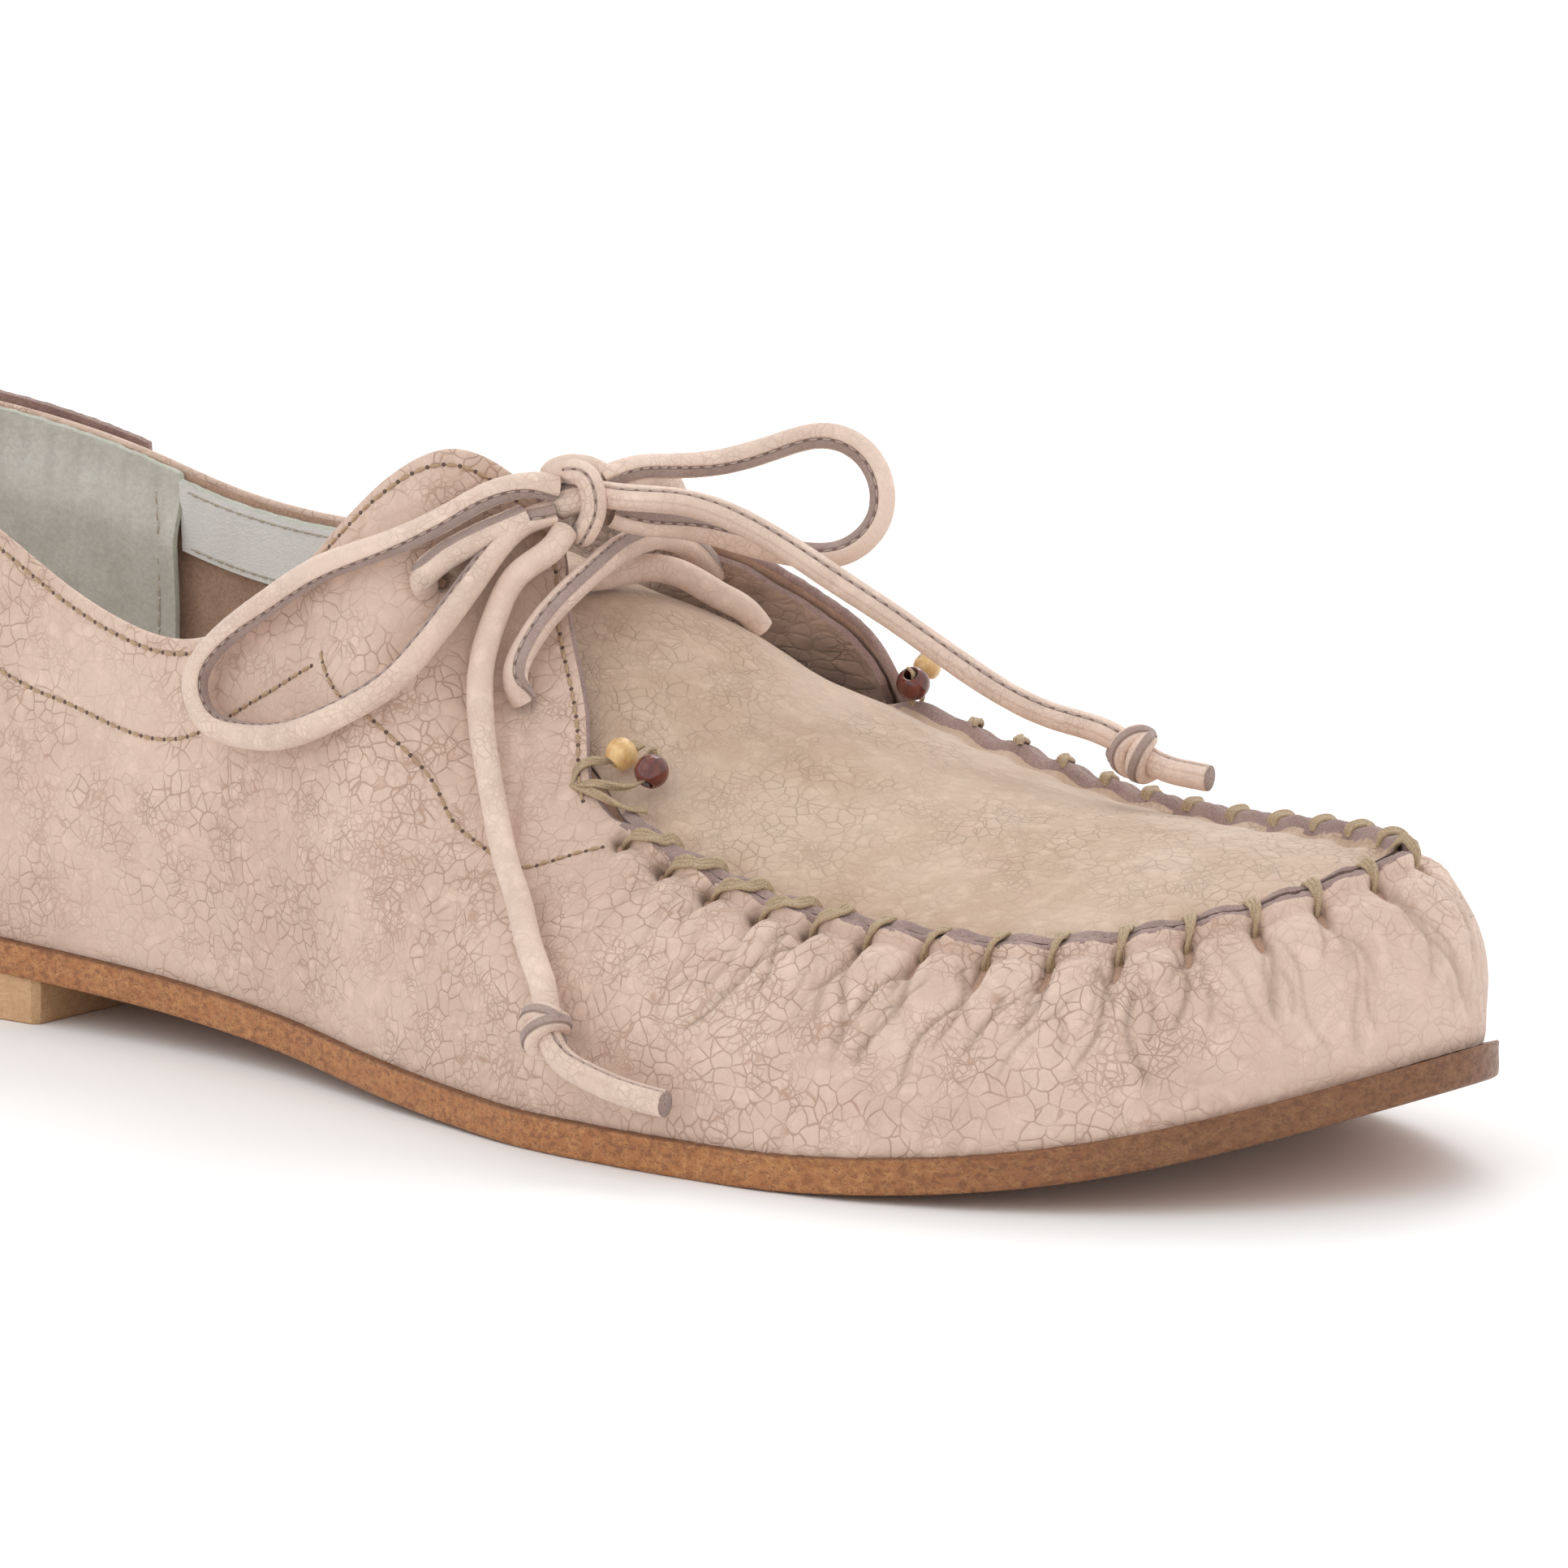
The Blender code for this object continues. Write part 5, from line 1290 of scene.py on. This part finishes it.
def lace(shape, route, toward, size=1.0, spacing=0.55, needle=True, seed=1, tip=(False, False),
         mirror=False, strip=True):
    """A length of rolled lace whose seam faces the hints, with the raw strip on the side of the
    seam that mirror chooses. tip closes either end as a cut end."""
    points, side, top = framed(route, spacing, toward)
    top = -top if mirror else top
    angle, radius, raw = lace_section()
    raw = raw if strip else raw * 0
    length = along(points)[1]
    rough = noise(points[:, None] + side[:, None] * np.cos(angle)[None, :, None] * 2
                  + top[:, None] * np.sin(angle)[None, :, None] * 2, 0.9, seed)
    swell = 1 + 0.035 * noise(points, 7, seed + 1)[:, None] + np.where(raw, 0.045, 0.012)[None, :] * rough
    reach = radius[None, :] * swell * size
    ends = np.ones(len(points))
    if tip[0]:
        ends[:2] = (0.05, 0.96)
        points[0] = points[1] + (points[0] - points[1]) * 0.05
    if tip[1]:
        ends[-2:] = (0.96, 0.05)
        points[-1] = points[-2] + (points[-1] - points[-2]) * 0.05
    reach = reach * ends[:, None]
    ring = (points[:, None] + side[:, None] * (np.cos(angle) * reach)[..., None]
            + top[:, None] * (np.sin(angle) * reach * LACE_FLATNESS)[..., None])
    n, m = ring.shape[:2]
    i, j = np.meshgrid(np.arange(n - 1), np.arange(m), indexing="ij")
    k = (j + 1) % m
    faces = np.stack([i * m + j, i * m + k, (i + 1) * m + k, (i + 1) * m + j], -1)
    faces = faces[..., ::-1] if mirror else faces
    kinds = np.broadcast_to(raw[None, :], (n - 1, m)).copy()
    if tip[0]:
        kinds[0] = 1
    if tip[1]:
        kinds[-1] = 1
    # Painted shade along the groove of the lace's seam.
    groove = 0.55 * bell(np.degrees(angle) - 1, 7)[None, :] * (ends > 0.9)[:, None]
    shape.add(ring, faces.reshape(-1, 4), kinds.reshape(-1), groove)
    if needle and length > SHORTEST_SEWN:
        line = points + side * (LACE / 2 * size * 0.87)
        keep = slice(3, -3)
        stitch_row(shape, line[keep], side[keep], 1.75, 0.30, 0.22, kind=2, hole_kind=3)
    return points


LACE_LOOKS = [LACE_LEATHER, LACE_FLESH, LACE_THREAD, NEEDLE_HOLE]


def into_knot(route, start=None, end=None):
    """The route with its ends carried on into the knot."""
    route = [tuple(p) for p in route]
    return np.array(([start] if start else []) + route + ([end] if end else []), float)


def make_loops():
    route = into_knot(ROUTES["bow_loop_lateral"], (132.6, -14.8, 74.6), (132.2, -14.8, 71.4))
    middle = np.array([110, -34, 57.0])
    toward = unit(middle - route) * 0.9 + TO_CAMERA
    toward[0] = toward[1]
    shape = Shape()
    points = lace(shape, route, toward, seed=61, mirror=True)
    piece = shape.build("bow_loop_lateral", "bow_loop_lateral", LACE_LOOKS, "lace_leather",
                        ["bow_loop_lateral"])
    route = into_knot(ROUTES["bow_loop_medial"], (135.8, -9.6, 75.2), (136.6, -9.0, 70.9))
    toward = unit(np.array([147, 9, 71.0]) - route) * 0.5 + TO_CAMERA
    toward[0], toward[-1] = toward[1], toward[-2]
    shape = Shape()
    points = lace(shape, route, toward, seed=62)
    piece = shape.build("bow_loop_medial", "bow_loop_medial", LACE_LOOKS, "lace_leather",
                        ["bow_loop_medial"])


def wrap_knot(shape, centre, axis, radius, turns, rise, toward, seed):
    """The overhand knot near a lace's end: the lace wound round itself, slanting."""
    axis = unit(axis)
    first = unit(np.cross(axis, UP))
    second = np.cross(axis, first)
    u = np.linspace(0, 1, 22)
    angle = 2 * np.pi * turns * u + toward
    loose = 1 + 0.12 * np.sin(np.pi * u)
    route = (np.array(centre) + axis * ((u - 0.5) * rise)[:, None]
             + first * (np.cos(angle) * radius * loose)[:, None]
             + second * (np.sin(angle) * radius * loose)[:, None])
    outward = first * np.cos(angle)[:, None] + second * np.sin(angle)[:, None]
    lace(shape, route, outward + axis * 0.8, 0.80, 0.35, needle=False, seed=seed, tip=(True, True))


def make_tails():
    settings = {
        "lateral": ((133.8, -14.6, 69.2), -TO_CAMERA - UP * 0.2, UP + TO_CAMERA * 0.3, 63, False),
        "medial": ((136.6, -11.4, 73.8), UP * 0.8 + TO_CAMERA, UP + TO_CAMERA * 0.4, 66, True)}
    for side, (start, toward, end_toward, seed, needle) in settings.items():
        body = f"lace_tail_{side}"
        centre, axis = TAIL_KNOTS[f"tail_knot_{side}"]
        route = into_knot(ROUTES[body], start, tuple(centre))
        shape = Shape()
        points = lace(shape, route, toward, seed=seed, needle=needle, strip=False)
        tail = shape.build(body, body, LACE_LOOKS, "lace_leather", [body])
        shape = Shape()
        wrap_knot(shape, centre, axis, 1.75, 1.35, 4.6, 0.6, seed + 1)
        slant = unit(axis) + unit(np.cross(axis, UP)) * 0.75
        wrap_knot(shape, np.array(centre) - unit(axis) * 0.4, slant, 2.0, 0.85, 1.6, 3.6, seed + 2)
        knot = shape.build(f"tail_knot_{side}", body, LACE_LOOKS, "lace_leather", [f"tail_knot_{side}"])
        shape = Shape()
        route = into_knot(ROUTES[f"lace_end_{side}"], tuple(centre))
        lace(shape, route, end_toward, 0.95, seed=seed + 3, tip=(False, True), strip=False)
        end = shape.build(f"lace_end_{side}", body, LACE_LOOKS, "lace_leather", [f"lace_end_{side}"])


def make_crossings():
    shape = Shape()
    route = into_knot(ROUTES["lace_crossing_front"], (135.6, -25.0, 49.6), (130.4, 20.4, 59.2))
    lace(shape, route, UP + TO_CAMERA * 0.8, seed=71)
    shape.build("lace_crossing_front", "shoe", LACE_LOOKS, "lace_leather", ["lace_crossing_front"])
    shape = Shape()
    route = into_knot(ROUTES["lace_crossing_back"], (127.0, -12.4, 60.6), (140.6, 16.4, 53.6))
    lace(shape, route, -UP, seed=72, needle=False)
    shape.build("lace_crossing_back", "shoe", LACE_LOOKS, "lace_leather", ["lace_crossing_back"])
    shape = Shape()
    route = into_knot(ROUTES["lace_riser_lateral"], (122.0, -27.4, 62.6), (130.2, -18.0, 71.0))
    lace(shape, route, UP, seed=73, needle=False)
    shape.build("lace_riser_lateral", "shoe", LACE_LOOKS, "lace_leather", ["lace_riser_lateral"])
    shape = Shape()
    route = into_knot(ROUTES["lace_riser_medial"], (120.4, 24.0, 57.4), (132.6, -10.6, 72.4))
    lace(shape, route, UP, seed=74, needle=False)
    shape.build("lace_riser_medial", "shoe", LACE_LOOKS, "lace_leather", ["lace_riser_medial"])


def make_bow_knot():
    """The bow's knot: a band that goes round all the strands, and the roll that it starts from."""
    def local(*points):
        return np.array([KNOT + TO_RIGHT * u + UP * v + TO_CAMERA * w for u, v, w in points])

    shape = Shape()
    band = local((-2.2, 3.6, -1.0), (-0.8, 3.7, 1.4), (0.8, 3.0, 2.8), (1.7, 0.9, 3.4), (1.7, -1.6, 3.1),
                 (0.9, -3.5, 1.8), (0.3, -4.1, -0.4), (0.2, -2.9, -2.6), (0.2, 0.0, -3.4), (-0.4, 2.6, -2.6),
                 (-1.8, 3.5, -0.8))
    lace(shape, band, TO_CAMERA + TO_RIGHT * 0.15, 0.98, 0.4, seed=81, strip=False)
    roll = local((-3.6, 2.0, -0.6), (-3.3, 3.4, 0.4), (-1.8, 4.1, 0.7), (0.6, 4.1, 0.1), (2.4, 3.4, -0.9),
                 (3.2, 2.2, -1.8))
    lace(shape, roll, -UP, 0.95, 0.4, seed=82, needle=False, tip=(True, True))
    core = local((-3.4, -0.6, 0.0), (-1.2, 0.4, 0.6), (1.2, 0.6, 0.4), (3.2, -0.2, 0.0))
    lace(shape, core, UP, 1.25, 0.5, seed=83, needle=False, tip=(True, True))
    shape.build("bow_knot", "shoe", LACE_LOOKS, "lace_leather", ["bow_knot"])


# ---------------------------------------------------------------- hidden pieces and the run
def dress_cad_nodes():
    """The CAD pieces inside the shoe keep their shapes and get their materials."""
    looks = {"insole_board": BOARD, "sock_liner": GREY_SUEDE, "bottom_filler": CORK, "shank": STEEL,
             "toe_puff": BOARD, "heel_counter": BOARD}
    looks.update({f"heel_nail_{k}": STEEL for k in range(1, 6)})
    for name, look in looks.items():
        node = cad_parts[name]
        for slot in node.material_slots:
            slot.material = look


make_camera()
make_studio()
make_loops()
make_tails()
make_crossings()
make_bow_knot()
upper_surface = Upper()
make_upper(upper_surface)
apron_points, apron_normals, apron_edge, apron_sewn = apron_grid()
make_apron(apron_points, apron_normals, apron_edge, apron_sewn)
make_linings()
make_heel_tab()
make_outsole()
make_heel_block()
make_fine_stitches(upper_surface)
make_lining_stitches()
make_seam_stitches(upper_surface, apron_points, apron_normals)
make_beads()
make_bead_threads()
dress_cad_nodes()
